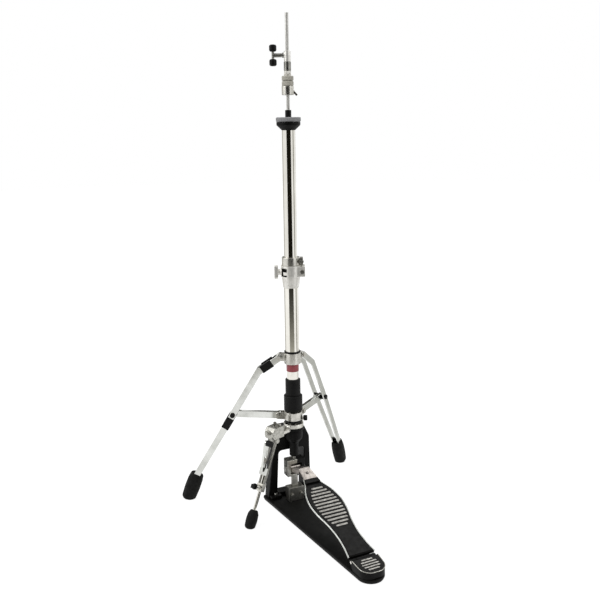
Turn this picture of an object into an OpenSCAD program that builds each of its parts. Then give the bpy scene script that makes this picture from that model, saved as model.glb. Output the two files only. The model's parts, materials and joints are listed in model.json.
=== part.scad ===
// Hi-hat stand: folding tripod, spur leg, sprung pedal, pull rod, cymbal seat and clutch.
// Millimetres, +Z up. The pull rod runs up the Z axis, the floor is z = 0 and the heel points to -Y.

/* [Clearances] */
// Radial gap of a turning or sliding fit
run_fit = 0.05; // [0.03:0.01:0.09]
// Radial gap of a piece pressed or screwed into another
press_fit = 0.02; // [0.01:0.01:0.04]
// Gap between faces that move past each other
face_gap = 0.4; // [0.3:0.05:0.6]

/* [Floor plate] */
// Thickness of the rubber mat under the floor plate
mat_t = 2.5; // [1.5:0.5:4]
// How far the mat stays inside the edge of the plate
mat_inset = 1.5; // [0.5:0.5:4]
// Thickness of the floor plate
plate_t = 5.5; // [4:0.5:8]
// Half width of the floor plate at its rear edge
plate_rear_half_w = 55; // [52:1:64]
// Radius of the floor plate's rear corners
plate_corner_r = 6; // [3:1:10]
// Floor plate behind the foot of the frame
plate_rear_margin = 1.5; // [1:0.5:6]
// Radius of the floor plate's round heel end
plate_heel_r = 26; // [24:0.5:29]
// Floor plate beyond the heel plate
plate_heel_margin = 3; // [2:0.5:6]

/* [Pedal frame] */
// Height of the seat that carries the column
column_seat_z = 164; // [158:1:172]
// Distance of the frame's foot behind the pull rod
frame_y = 24; // [22:1:28]
// Depth of the frame at its foot
frame_depth = 19; // [16:0.5:22]
// Lean of the frame toward the heel, in degrees
frame_lean = 6.5; // [5:0.5:7.5]
// Half width of the frame at the floor plate
frame_foot_half_w = 51; // [47:1:51]
// Half width of the frame at its shoulders
frame_shoulder_half_w = 40; // [38:1:44]
// Drop from the column seat to the shoulders
frame_shoulder_drop = 26; // [22:1:32]
// Half width of the frame's flat top
frame_top_half_w = 18; // [16:1:22]
// Radius of the shoulders
frame_shoulder_r = 16; // [8:1:18]
// Half width of the frame's window
window_half_w = 29; // [27:0.5:31]
// Height of the window's sill above the floor plate
window_sill_h = 8; // [7.5:0.5:14]
// Drop from the column seat to the window's top
window_drop = 49; // [45:1:56]
// Radius of the window's corners
window_r = 7; // [4:1:10]
// Radius of the boss that carries the column
boss_r = 18; // [16:0.5:20]
// Height of the boss's thick part below the column seat
boss_h = 30; // [24:1:36]
// Gap between the boss and the pull block
boss_gap = 6; // [4:0.5:10]
// Radius of the boss's long nose
boss_nose_r = 9.5; // [8:0.1:12]
// Height of the taper from the boss to its nose
boss_nose_h = 12; // [8:0.5:16]
// Radius of the hole for the pull rod through the boss
boss_bore_r = 4.4; // [4:0.1:5]
// Length of the frame's bolting pads along Y
pad_len = 11; // [10:0.5:12]
// Height of the frame's bolting pads
pad_h = 7; // [5:0.5:9]

/* [Yoke and column] */
// Height of the chrome yoke on the frame
yoke_h = 15; // [12:0.5:18]
// Outside radius of the yoke's ring
yoke_r = 20.5; // [18:0.5:22]
// Width of the yoke's arm to the spur clamp
yoke_arm_w = 16; // [12:1:20]
// Height of the yoke's arm
yoke_arm_h = 7; // [5:0.5:10]
// Height of the arm above the yoke's foot
yoke_arm_lift = 1.5; // [1:0.5:2]
// Outside diameter of the column
column_d = 24; // [23:0.1:25]
// Wall of the column
column_wall = 1.5; // [1:0.1:2]
// Length of column inside the lower tube
column_overlap = 30; // [20:1:60]
// Bare column between the tension sleeve and the red band
neck_h = 16.8; // [12:0.2:22]
// Height of the red band
band_h = 15.6; // [10:0.2:20]
// Thickness of the red band
band_t = 0.6; // [0.4:0.1:1]

/* [Tension sleeve] */
// Gap between the tripod hub and the sleeve
sleeve_gap = 2.3; // [1:0.1:4]
// Height of the sleeve's wide lower part
sleeve_low_h = 33.2; // [26:0.2:40]
// Outside radius of the wide part
sleeve_low_r = 18.9; // [17.5:0.1:20]
// Height of the sleeve's narrow upper part
sleeve_high_h = 34.3; // [26:0.1:42]
// Outside radius of the narrow part
sleeve_high_r = 15.3; // [14.5:0.1:16.5]

/* [Tubes and rod] */
// Outside diameter of the lower tube
lower_tube_d = 28.6; // [28.2:0.1:29.2]
// Outside diameter of the upper tube
upper_tube_d = 25.4; // [25:0.1:25.8]
// Wall of both tubes
tube_wall = 1.2; // [0.9:0.1:1.3]
// Length of the lower tube
lower_tube_len = 190; // [170:1:230]
// Length of the upper tube
upper_tube_len = 324; // [280:1:360]
// Length of upper tube inside the lower tube
upper_overlap = 56; // [40:1:62]
// Diameter of the pull rod
rod_d = 6.35; // [6:0.05:6.6]
// Height of the pull rod above the top of the upper tube
rod_reach = 209.5; // [190:0.5:260]
// Height of the joint between the two rods above the lower tube's foot
coupler_lift = 118; // [112:1:124]
// Length of the rod coupler
coupler_len = 28; // [20:1:36]
// Radius over the corners of the rod coupler
coupler_r = 5.5; // [5:0.1:7]

/* [Return spring] */
// Rest length of the return spring
spring_len = 97; // [80:1:110]
// Outside radius of the return spring
spring_r = 9; // [8:0.1:9.4]
// Wire diameter of the return spring
spring_wire = 2.2; // [1.6:0.1:2.8]
// Height of the flange that presses the spring
flange_h = 6; // [4:0.5:9]
// Radius of that flange
flange_r = 9.6; // [9:0.1:9.8]

/* [Height clamp] */
// Turn of the clamp and of the clutch about the rod, in degrees
clamp_turn = -24.9; // [-60:0.1:60]
// Height of the nylon bush above the lower tube
clamp_bush_h = 10; // [8:0.5:14]
// Height of the clamp's body
clamp_body_h = 22; // [18:0.5:28]
// Radius of the clamp's body
clamp_body_r = 19.5; // [18.5:0.5:22]
// Height of the clamp's sleeve below the body
clamp_sleeve_h = 22; // [16:0.5:30]
// Outside radius of the clamp's sleeve
clamp_sleeve_r = 18.2; // [17:0.1:18.4]
// Reach of the clamp's ear from the rod's axis
clamp_ear_reach = 27.6; // [26.5:0.1:31]
// Width of the clamp's ear
clamp_ear_w = 30; // [24:1:33]
// Width of the slit in the clamps' ears
clamp_slit = 1.6; // [1:0.1:2.4]
// Distance of the clamp's wing from the rod's axis
clamp_wing_reach = 25.5; // [25:0.5:32]
// Length of the clamp's wing
clamp_wing_len = 27; // [20:1:34]
// Height of the memory lock ring
lock_h = 16; // [12:0.5:20]
// Outside radius of the memory lock ring
lock_r = 17.5; // [16.5:0.1:19]
// Reach of the memory lock's ear from the rod's axis
lock_ear_reach = 24; // [23:0.5:28]

/* [Cymbal seat] */
// Height of the seat's cup
cup_h = 15.4; // [12:0.2:20]
// Radius of the cup's rim
cup_r = 22.6; // [20:0.1:26]
// Height of the cup's straight rim
cup_rim_h = 6; // [4:0.5:8]
// Thickness of the seat felt
seat_felt_h = 8.6; // [6:0.2:12]
// Radius of the seat felt
seat_felt_r = 23.6; // [20:0.1:27]
// Height of the rod bush above the upper tube
bush_neck_h = 36.8; // [30:0.2:40]
// Radius of the rod bush's neck
bush_neck_r = 5.8; // [5:0.1:7]
// Depth of the rod bush inside the upper tube
bush_plug_h = 18; // [12:1:26]

/* [Clutch] */
// Gap between the rod bush and the clutch when the pedal is up
clutch_gap = 27.4; // [27:0.1:40]
// Height of the bottom nut
bottom_nut_h = 16.1; // [12:0.1:20]
// Radius of the bottom nut
bottom_nut_r = 11.4; // [10.5:0.1:13]
// Length of the bottom nut's lever
lever_len = 12; // [9:0.5:16]
// Thickness of one clutch felt
clutch_felt_h = 8.9; // [6:0.1:12]
// Radius of the clutch felts
clutch_felt_r = 11; // [10:0.1:13]
// Height of the lower lock nut
lock_nut_low_h = 9; // [6:0.5:12]
// Radius of the lower lock nut
lock_nut_low_r = 6.1; // [5.6:0.1:8]
// Height of the upper lock nut
lock_nut_high_h = 16; // [10:0.5:20]
// Radius of the upper lock nut
lock_nut_r = 6.7; // [6.2:0.1:8]
// Radius of the clutch's threaded stem
stem_r = 4.4; // [4.1:0.1:5]
// Height of the clutch's head
head_h = 19.4; // [16:0.2:26]
// Radius of the clutch's head
head_r = 6.2; // [5.8:0.1:8]
// Distance of the wing screw below the top of the clutch
wing_drop = 7.8; // [6.5:0.1:9]
// Distance of the clutch's wing tips from the rod's axis
wing_reach = 26.4; // [22:0.2:30]
// Distance from the wing screw to the middle of a wing tip
wing_tip_offset = 12.8; // [11:0.1:15]
// Radius of a wing tip
wing_tip_r = 6.8; // [6:0.1:7.4]
// Height of a wing tip
wing_tip_h = 12.5; // [10:0.5:14]

/* [Tripod] */
// Turn of the tripod about the rod, in degrees
tripod_turn = 2.15; // [-8:0.05:8]
// Angle between the two legs, in degrees
leg_spread = 111.3; // [100:0.1:124]
// Gap between the yoke and the hub
hub_gap = 2.5; // [1:0.1:4]
// Height of the hub
hub_h = 21.5; // [19:0.5:26]
// Outside radius of the hub
hub_r = 18; // [16.5:0.5:20]
// Height of the brace pivots above the hub's foot
brace_pivot_lift = 12.5; // [11:0.1:13.5]
// Distance of the brace pivots from the rod's axis
brace_pivot_r = 30; // [28:0.5:34]
// Length of a brace between its pivots
brace_len = 94.4; // [88:0.2:100]
// Height of a brace bar
brace_w = 14; // [13:0.5:16]
// Thickness of a brace bar
brace_t = 8; // [6:0.5:9]
// Height of the upper collar
collar_h = 22.5; // [19:0.5:26]
// Outside radius of the upper collar
collar_r = 17; // [16.4:0.1:19]
// Step from the collar's side in to the black ring
collar_ring_step = 0.8; // [0.4:0.1:1.2]
// Height of the black ring on the collar
collar_ring_h = 3.3; // [2:0.1:5]
// Height of the leg pivots above the collar's foot
leg_pivot_lift = 12.4; // [10:0.1:13.5]
// Distance of the leg pivots from the rod's axis
leg_pivot_r = 26; // [25:0.5:29]
// Slope of a leg above its knee, in degrees
leg_top_slope = 35; // [32:0.5:40]
// Slope of a leg below its knee, in degrees
leg_slope = 59.3; // [57:0.1:62]
// Distance between the middles of a leg's two bars at the top
bar_spacing = 22; // [20:0.5:26]
// Distance between the middles of a leg's two bars in the foot
bar_foot_spacing = 12; // [11:0.5:14]
// Width of a leg bar
bar_w = 13; // [11:0.5:15]
// Thickness of a leg bar
bar_t = 3.2; // [2.5:0.1:4]
// Radius of the tripod's pivot pins
pin_r = 3; // [2.5:0.1:3.4]
// Thickness of a pivot pin's head
pin_head_h = 2.5; // [1.5:0.1:3.5]
// Travel of the collar when the tripod folds
fold_travel = 60; // [40:1:62]
// Length of the black sleeves on the left leg
leg_sleeve_len = 26; // [18:1:30]
// Wall of the black sleeves on the left leg
leg_sleeve_wall = 1.4; // [1:0.1:2]

/* [Rubber feet] */
// Height on the leg where the foot's axis crosses it
foot_cross_z = 52; // [46:1:58]
// Slope of the foot's axis, in degrees
foot_slope = 68.5; // [64:0.5:72]
// Length of foot above that crossing
foot_up = 5; // [4:0.5:12]
// Length of leg bar inside the foot
foot_grip = 24; // [18:1:30]
// Radius of the foot's rounded ends
foot_r = 13.5; // [13:0.5:16]
// Distance between the middles of the two rounded ends
foot_stretch = 5; // [4:0.5:9]
// Radius of the foot's mouth
foot_mouth_r = 11; // [10:0.5:12]

/* [Spur leg] */
// Direction of the spur leg about the rod, in degrees
spur_turn = 203.7; // [198:0.1:212]
// Distance of the spur clamp's inner face from the rod's axis
spur_clamp_r = 42; // [40:1:46]
// Length of the spur clamp
spur_clamp_len = 32; // [28:1:36]
// Width of the spur clamp
spur_clamp_w = 24; // [21:1:28]
// Height of the spur clamp
spur_clamp_h = 24; // [22:1:30]
// Distance from the clamp's inner face to the spur's pivot
spur_pivot_in = 18; // [16:0.5:19]
// Distance of the foot's tip from the rod's axis
spur_foot_r = 137; // [130:0.5:145]
// Length of the paired spur bars below the pivot
spur_bar_len = 88; // [82:1:94]
// Width of a spur bar
spur_bar_w = 5.5; // [5:0.5:8]
// Radius of the eyes at the top of the spur bars
spur_eye_r = 4.5; // [4.2:0.1:5.5]
// Thickness of a spur bar
spur_bar_t = 3.2; // [2.5:0.1:4.5]
// Gap between the two spur bars
spur_bar_gap = 8.8; // [8.4:0.1:9.4]
// Length of the lock boss at the end of the bars
spur_boss_len = 16; // [13:0.5:20]
// Reach of the lock boss away from the bars
spur_boss_reach = 18; // [14:0.5:22]
// Diameter of the spur rod
spur_rod_d = 6.7; // [6:0.1:7]
// Length of spur rod above the lock boss
spur_rod_up = 26; // [24:1:58]
// Length of the spur's rubber foot
spur_foot_len = 35; // [30:0.5:42]
// Radius of the spur's rubber foot
spur_foot_big_r = 11.6; // [10.5:0.1:14]
// Radius of the spur foot at its top
spur_foot_top_r = 7.2; // [6.5:0.1:9.5]

/* [Pedal] */
// Distance from the pull rod to the heel hinge
pedal_reach = 283; // [270:1:296]
// Height of the heel hinge above the floor plate
hinge_lift = 12; // [10:0.5:14]
// Radius of the heel hinge's knuckles
knuckle_r = 5.5; // [5:0.1:6]
// Radius of the heel hinge's pin
hinge_pin_r = 2.5; // [2:0.1:3]
// Half length of the footboard's knuckle
knuckle_half_w = 14; // [12:0.5:17]
// Half width of the heel hinge
hinge_half_w = 25; // [23:0.5:26]
// Slope of the footboard at rest, in degrees
board_tilt = 15.3; // [13.5:0.1:16.5]
// Height of the footboard's top above the hinge axis
board_lift = 6.7; // [6:0.1:8]
// Thickness of the footboard
board_t = 6; // [4.5:0.1:7]
// Thickness of the footboard's black pad
pad_t = 1; // [0.6:0.1:2]
// Width of bright rim left around the pad
rim_w = 1.8; // [1:0.1:3]
// Width of a rib
rib_w = 4.4; // [3:0.1:6]
// Height of a rib
rib_h = 0.9; // [0.5:0.1:1.4]
// Distance from rib to rib on the footboard
rib_pitch = 8.8; // [7:0.1:11]
// Half length of the footboard's rib field
rib_field_half_l = 60; // [48:1:66]
// Half width of the footboard's rib field
rib_field_half_w = 26; // [18:0.5:28]
// Distance of the rib field's middle from the hinge
rib_field_v = 135; // [128:1:142]
// Length of the heel plate
heel_len = 41; // [36:1:46]
// Half width of the heel plate
heel_half_w = 26.5; // [25:0.5:28]
// Radius of the heel plate's rear corners
heel_r = 20; // [14:1:22]
// Height of the heel plate's front edge above the floor plate
heel_front_h = 19; // [17:0.5:22]
// Fall of the heel plate toward its rear, in degrees
heel_fall = 7; // [4:0.5:10]
// Half length of the heel plate's rib field
heel_field_half_l = 17; // [13:0.5:18]
// Half width of the heel plate's rib field
heel_field_half_w = 17; // [12:0.5:19]
// Distance from rib to rib on the heel plate
heel_rib_pitch = 6.4; // [5:0.1:8]
// Width of the heel's ribs
heel_rib_w = 3.2; // [2.4:0.1:4]

/* [Pull linkage] */
// Height of the pull pin at rest above the floor plate
pull_pin_h = 70.5; // [66:0.5:74]
// Travel of the pull rod
pedal_stroke = 26; // [20:0.5:26]
// Radius of the pull pin
pull_pin_r = 3; // [2.5:0.1:3.5]
// Width of the toe bracket's tongue
tongue_w = 23.6; // [20:0.2:25]
// Height of the tongue
tongue_h = 9; // [7:0.5:10]
// Radius of the tongue's end around the pull pin
tongue_r = 8; // [7:0.1:8.6]
// Length of the toe bracket on the footboard's toe
bracket_seat = 18; // [14:1:22]
// Length of the toe bracket beyond the footboard
bracket_reach = 28; // [22:1:32]
// Half width of the toe bracket on the footboard
bracket_half_w = 15.5; // [13.5:0.5:17]
// Thickness of the toe bracket
bracket_t = 4; // [3:0.5:5]
// Radius of the hole in the toe bracket
bracket_hole_r = 3.2; // [2:0.1:4]
// Width of the pull block
block_w = 39; // [36:0.5:42]
// Depth of the pull block
block_d = 20; // [16:0.5:21]
// Wall of the pull block below its window
block_sill_t = 4.5; // [3:0.1:6]
// Wall of the pull block above its window
block_head_t = 9; // [8:0.5:12]
// Window of the pull block below the pull pin
block_low = 10; // [9.2:0.1:11]
// Window of the pull block above the pull pin
block_high = 12.5; // [12:0.1:15]
// Width of the guide strap below the pull block
strap_w = 14; // [10:0.5:18]
// Thickness of the guide strap
strap_t = 5; // [3:0.5:7]
// Width of the guide foot
guide_w = 34; // [28:1:40]
// Depth of the guide foot
guide_d = 20; // [16:0.5:20]

/* [Hidden] */
$fn = 64;

// Finishes
chrome = "#C9CAC6";
dark_steel = "#4A4A48";
black = "#1C1C1A";
rubber = "#222220";
light_metal = "#CFC8C2";
felt = "#9A978D";
felt_dark = "#77777A";
red = "#A33A42";

// Length that reaches past anything it cuts
past = 1;
// Side of the block that cuts away everything on one side of a plane
cut_size = 400;

// Screws and bolts: shank radius, then the boss or collar that goes with it
key_shank_r = 2.5;
key_head = 7;
key_head_h = 4.5;
clamp_screw_r = 3;
clamp_screw_boss_r = 6.5;
clamp_screw_boss_len = 1.5;
clamp_screw_collar_r = 5.5;
clamp_screw_lift = 8.8;
ear_bolt_r = 2.2;
ear_bolt_head_r = 4.2;
ear_bolt_head_h = 3;
ear_edge = 1;
lock_ear_half_w = 8;
hub_screw_r = 2.5;
hub_screw_lift = 6;
hub_boss_r = 5;
hub_boss_len = 2;
wing_screw_r = 2.4;
wing_boss_r = 4.6;
wing_boss_len = 3.4;
wing_collar_r = 3.6;
pin_head_r = 5;
spur_knob_bolt_r = 2.4;
spur_lock_r = 2;
spur_boss_wall = 2;
spur_stem_wall = 3;
spur_key_drop = 8.5;
spur_bolt_in = 8;

// Small tripod sizes: lug around a pin, cheek of the hub, play in the brace's slot, bush below the bend
lug_margin = 0.5;
cheek_t = 4;
slip_per_travel = 0.06;
slip_play = 0.6;
slot_play = 0.8;
bush_spacer_r = 6;
bend_lead = bush_spacer_r + 1;
// Bare bar between a leg's upper sleeve and its knee
leg_sleeve_to_knee = 8;

// Small toe bracket sizes: room round the pull pin in its slot, share of the reach up to the hole
slot_gap = 0.3;
bracket_hole_at = 0.4;

// Shallow depth mark on the pull rod, above the clutch
rod_mark_lift = 3;
rod_mark_w = 1.2;
rod_mark_depth = 0.35;

// Heights up the pull rod's axis
base_top = mat_t + plate_t;
yoke_top = column_seat_z + yoke_h;
hub_z = yoke_top + hub_gap;
hub_top = hub_z + hub_h;
sleeve_z = hub_top + sleeve_gap;
sleeve_top = sleeve_z + sleeve_low_h + sleeve_high_h;
band_z = sleeve_top + neck_h;
tube_z = band_z + band_h + face_gap;
tube_top = tube_z + lower_tube_len;
clamp_top = tube_top + clamp_bush_h;
clamp_body_z = clamp_top - clamp_body_h;
lock_z = clamp_top + face_gap;
clamp_screw_z = clamp_body_z + clamp_screw_lift;
hub_screw_z = hub_z + hub_screw_lift;
upper_z = tube_top - upper_overlap;
seat_z = upper_z + upper_tube_len;
seat_felt_z = seat_z + cup_h;
bush_top = seat_z + bush_neck_h;
rod_top = seat_z + rod_reach;
coupler_z = tube_z + coupler_lift;
nut_z = bush_top + clutch_gap;
felts_z = nut_z + bottom_nut_h;
lock_nuts_z = felts_z + 2 * clutch_felt_h + face_gap;
head_z = lock_nuts_z + lock_nut_low_h + lock_nut_high_h;
head_top = head_z + head_h;
wing_z = head_top - wing_drop;
rod_mark_z = head_top + rod_mark_lift;
spring_z = column_seat_z + face_gap;
flange_z = spring_z + spring_len + face_gap;

// Radii
rod_r = rod_d / 2;
column_r = column_d / 2;
lower_r = lower_tube_d / 2;
upper_r = upper_tube_d / 2;
lower_in_r = lower_r - tube_wall;
upper_in_r = upper_r - tube_wall;
column_in_r = column_r - column_wall;

// Ear bolts: distance from the rod's axis
clamp_bolt_x = (lower_r + ear_bolt_r + clamp_ear_reach) / 2;
lock_screw_x = (lock_r + lock_ear_reach) / 2;

// Frame: its front leans, its rear stands upright
frame_rear_y = frame_y + frame_depth;
frame_top_depth = frame_depth + (column_seat_z - base_top) * tan(frame_lean);
plate_rear_y = frame_rear_y + plate_rear_margin;
frame_h = (column_seat_z - base_top) / cos(frame_lean);
pad_half_w = 12;
pad_mid_x = window_half_w + pad_half_w / 2;

// Pedal
hinge_y = -pedal_reach;
hinge_z = base_top + hinge_lift;
knuckle_gap = 1;
heel_front_y = hinge_y - knuckle_r - knuckle_gap;
heel_rear_y = heel_front_y - heel_len;
plate_heel_y = heel_rear_y - plate_heel_margin + plate_heel_r;
pull_pin_z = base_top + pull_pin_h;
pin_rise = pull_pin_z - hinge_z;
// Pull pin seen from the hinge: along the footboard, and square to it
pin_v = pedal_reach * cos(board_tilt) + pin_rise * sin(board_tilt);
pin_w = pin_rise * cos(board_tilt) - pedal_reach * sin(board_tilt);
// The pull pin comes this much closer to the hinge as the pedal goes down
pin_slip = norm([pedal_reach, pin_rise]) - norm([pedal_reach, pin_rise - pedal_stroke]);
board_start = knuckle_r + knuckle_gap;
// Side of the footboard: distance from the hinge and half width
board_side = [
    [board_start, 26.5], [30, 22.8], [60, 21.6], [92, 25], [120, 31.2],
    [150, 33.6], [180, 28], [204, 17.5], [222, 13]
];
board_end = board_side[len(board_side) - 1][0];
bracket_start = board_end - bracket_seat;
bracket_end = board_end + bracket_reach;

// Pull linkage
block_window_z = pull_pin_z - block_low;
block_window_top = pull_pin_z + block_high;
block_z = block_window_z - block_sill_t;
block_top = block_window_top + block_head_t;
window_side_gap = face_gap;
strap_z = base_top + pedal_stroke + face_gap;
guide_top = block_z - pedal_stroke - face_gap;

// Tripod: points are distance from the rod's axis and height
leg_pivot = [leg_pivot_r, tube_z + leg_pivot_lift];
brace_pivot = [brace_pivot_r, hub_z + brace_pivot_lift];
brace_joint = brace_pivot + [brace_len, 0];
knee_run = (leg_pivot[1] - brace_joint[1] - tan(leg_slope) * (brace_joint[0] - leg_pivot_r))
    / (tan(leg_top_slope) - tan(leg_slope));
knee = leg_pivot + knee_run * [1, -tan(leg_top_slope)];
foot_cross = [brace_joint[0] + (brace_joint[1] - foot_cross_z) / tan(leg_slope), foot_cross_z];
top_bar_len = norm(knee - leg_pivot);
mid_bar_len = norm(brace_joint - knee);
low_bar_len = norm(foot_cross - brace_joint) + foot_grip / 2;
bar_turn_in = atan((bar_spacing - bar_foot_spacing) / 2 / (low_bar_len - bend_lead));
bar_in = (bar_spacing - bar_t) / 2;
bar_out = (bar_spacing + bar_t) / 2;
left_turn = 90 + tripod_turn + leg_spread / 2;
right_turn = 90 + tripod_turn - leg_spread / 2;
lug_w = 2 * (bar_in - face_gap);
cheek_in = brace_t / 2 + face_gap;
cheek_out = cheek_in + cheek_t;
lug_r = bar_w / 2 + lug_margin;
// The brace's end slips on the leg's bush while the collar travels
brace_slip = slip_per_travel * fold_travel + slip_play;
brace_slot_r = pin_r + slot_play;

// Spur leg
spur_pivot = [spur_clamp_r + spur_pivot_in, column_seat_z - spur_eye_r - face_gap];
spur_clamp_z = column_seat_z;
spur_line = [spur_foot_r - spur_pivot[0], -spur_pivot[1]];
spur_len = norm(spur_line);
spur_slope = atan2(spur_pivot[1], spur_line[0]);
spur_side = spur_bar_gap / 2 + spur_bar_t;
spur_rod_r = spur_rod_d / 2;
spur_boss_mid = spur_bar_len + spur_boss_len / 2;
stay_top = [8.5, 20.5];
stay_low = [64, spur_bar_w / 2 + 3.5];
stay_t = 5;
stay_w = 10;

// Shape of a rubber foot: shares of its length and of its fullest radius
boot_shoulder_at = 0.2;
boot_shoulder = 0.8;
boot_full_at = 0.5;
boot_low_at = 0.72;
boot_low = 0.96;
boot_end = 0.88;
boot_mouth_round = 0.3;
boot_end_round = 0.62;
// Length that the floor cuts off a foot's axis
boot_sink = 3;

// Points on an arc that rounds the corner at `at`
function unit(p) = p / norm(p);
function corner_arc(before, at, after, r, steps = 8) =
    let (
        u = unit(before - at),
        v = unit(after - at),
        half = acos(u * v) / 2,
        centre = at + unit(u + v) * r / sin(half),
        start = at + u * r / tan(half) - centre,
        end = at + v * r / tan(half) - centre,
        a = atan2(start[1], start[0]),
        sweep = (atan2(end[1], end[0]) - a + 540) % 360 - 180
    )
    [for (i = [0 : steps]) centre + r * [cos(a + sweep * i / steps), sin(a + sweep * i / steps)]];

// Polygon with each corner rounded by its own radius
function rounded(points, radii) =
    let (n = len(points))
    [for (i = [0 : n - 1])
        each corner_arc(points[(i + n - 1) % n], points[i], points[(i + 1) % n], radii[i])];

// Smooth curve through a list of points
function curve_at(a, b, c, d, t) =
    0.5 * (2 * b + (c - a) * t + (2 * a - 5 * b + 4 * c - d) * t * t + (3 * b - a - 3 * c + d) * t * t * t);
function curve(points, steps = 5) =
    let (last = len(points) - 1)
    concat(
        [for (i = [0 : last - 1], k = [0 : steps - 1])
            curve_at(points[max(i - 1, 0)], points[i], points[i + 1], points[min(i + 2, last)], k / steps)],
        [points[last]]
    );

// Half outline of a rubber foot down its axis: round mouth, fullest at the middle, round end
function boot(mouth_r, full_r, len) =
    let (
        shoulder = [mouth_r + (full_r - mouth_r) * boot_shoulder, len * boot_shoulder_at],
        low = [full_r * boot_low, len * boot_low_at],
        mouth = corner_arc([0, 0], [mouth_r, 0], shoulder, mouth_r * boot_mouth_round, 4)
    )
    concat(
        mouth,
        curve([shoulder, [full_r, len * boot_full_at], low], 4),
        corner_arc(low, [full_r * boot_end, len], [0, len], full_r * boot_end_round, 6)
    );

// Half length of a rib at distance d from the middle of an oval field
function oval(d, half_l, half_w) = half_w * sqrt(max(0, 1 - pow(d / half_l, 2)));

// Round bar along X
module x_bar(r, x0, x1) {
    translate([x0, 0, 0]) rotate([0, 90, 0]) cylinder(r = r, h = x1 - x0);
}

// Round bar along Y, across the middle
module y_bar(r, y0, y1) {
    translate([0, y1, 0]) rotate([90, 0, 0]) cylinder(r = r, h = y1 - y0);
}

// Tube up the rod's axis
module tube(r, bore_r, z0, z1) {
    difference() {
        translate([0, 0, z0]) cylinder(r = r, h = z1 - z0);
        translate([0, 0, z0 - past]) cylinder(r = bore_r, h = z1 - z0 + 2 * past);
    }
}

// Box from one corner to the opposite one
module box(low, high) {
    translate(low) cube(high - low);
}

// Rib of width w with round ends along X
module rib(half_l, w) {
    straight = half_l - w / 2;
    union() {
        box([-straight, -w / 2, 0], [straight, w / 2, rib_h]);
        for (side = [-1, 1])
            translate([side * straight, 0, 0]) cylinder(d = w, h = rib_h, $fn = 24);
    }
}

// Square-headed key bolt standing on z = 0, with its shank below
module key_bolt(shank_r, shank_len, head, head_h) {
    translate([0, 0, -shank_len]) cylinder(r = shank_r, h = shank_len + head_h / 2);
    cylinder(r = head * 0.75, h = head_h / 3);
    translate([-head / 2, -head / 2, 0]) cube([head, head, head_h]);
}

// Places: a plane through the rod's axis, a point in it with X down a slope, the footboard, the clamp
module in_plane(turn) {
    rotate([0, 0, turn]) children();
}
module down_slope(point, slope) {
    translate([point[0], 0, point[1]]) rotate([0, slope, 0]) children();
}
module at_point(point) {
    translate([point[0], 0, point[1]]) children();
}
module on_board() {
    translate([0, hinge_y, hinge_z]) rotate([board_tilt, 0, 0]) children();
}
module on_spur() {
    in_plane(spur_turn) down_slope(spur_pivot, spur_slope) children();
}

// Outline of the floor plate: straight sides running in to a round heel
module plate_outline(inset) {
    rear = [plate_rear_half_w - inset, plate_rear_y - inset];
    heel = [0, plate_heel_y];
    heel_r = plate_heel_r - inset;
    to_rear = rear - heel;
    tangent = atan2(to_rear[1], to_rear[0]) - acos(heel_r / norm(to_rear));
    heel_arc = [for (i = [0 : 20])
        let (a = tangent - i * (180 + 2 * tangent) / 20) heel + heel_r * [cos(a), sin(a)]];
    mirrored = [-rear[0], rear[1]];
    corner_r = plate_corner_r;
    polygon(concat(
        heel_arc,
        corner_arc(heel_arc[20], mirrored, rear, corner_r),
        corner_arc(mirrored, rear, heel_arc[0], corner_r)
    ));
}

module floor_mat() {
    color(rubber) linear_extrude(mat_t) plate_outline(mat_inset);
}

module base_plate() {
    color(black) translate([0, 0, mat_t]) linear_extrude(plate_t) plate_outline(0);
}

// Arch of the frame, drawn flat: X across, Y up the lean
module arch_outline() {
    shoulder = frame_h - frame_shoulder_drop;
    top = frame_h + frame_depth;
    outer = [
        [frame_foot_half_w, -frame_depth], [frame_shoulder_half_w, shoulder],
        [frame_top_half_w, top], [-frame_top_half_w, top],
        [-frame_shoulder_half_w, shoulder], [-frame_foot_half_w, -frame_depth]
    ];
    window_top = frame_h - window_drop;
    window = [
        [window_half_w, window_sill_h], [window_half_w, window_top],
        [-window_half_w, window_top], [-window_half_w, window_sill_h]
    ];
    small = 0.5;
    difference() {
        polygon(rounded(outer, [small, frame_shoulder_r, small, small, frame_shoulder_r, small]));
        polygon(rounded(window, [window_r, window_r, window_r, window_r]));
    }
}

module pedal_frame() {
    nose_z = block_top + boss_gap;
    taper_z = column_seat_z - boss_h;
    color(black) difference() {
        union() {
            intersection() {
                translate([0, frame_y, base_top]) rotate([90 + frame_lean, 0, 0])
                    translate([0, 0, -frame_top_depth]) linear_extrude(frame_top_depth) arch_outline();
                box([-cut_size / 2, -cut_size / 2, base_top], [cut_size / 2, frame_rear_y, column_seat_z]);
            }
            rotate_extrude() polygon([
                [0, nose_z], [boss_nose_r, nose_z], [boss_nose_r, taper_z],
                [boss_r, taper_z + boss_nose_h], [boss_r, column_seat_z], [0, column_seat_z]
            ]);
            for (side = [-1, 1])
                translate([side * pad_mid_x - pad_half_w, frame_y - pad_len, base_top])
                    cube([2 * pad_half_w, pad_len + frame_depth / 2, pad_h]);
        }
        translate([0, 0, nose_z - past])
            cylinder(r = boss_bore_r, h = column_seat_z - nose_z + 2 * past);
    }
}

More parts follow.
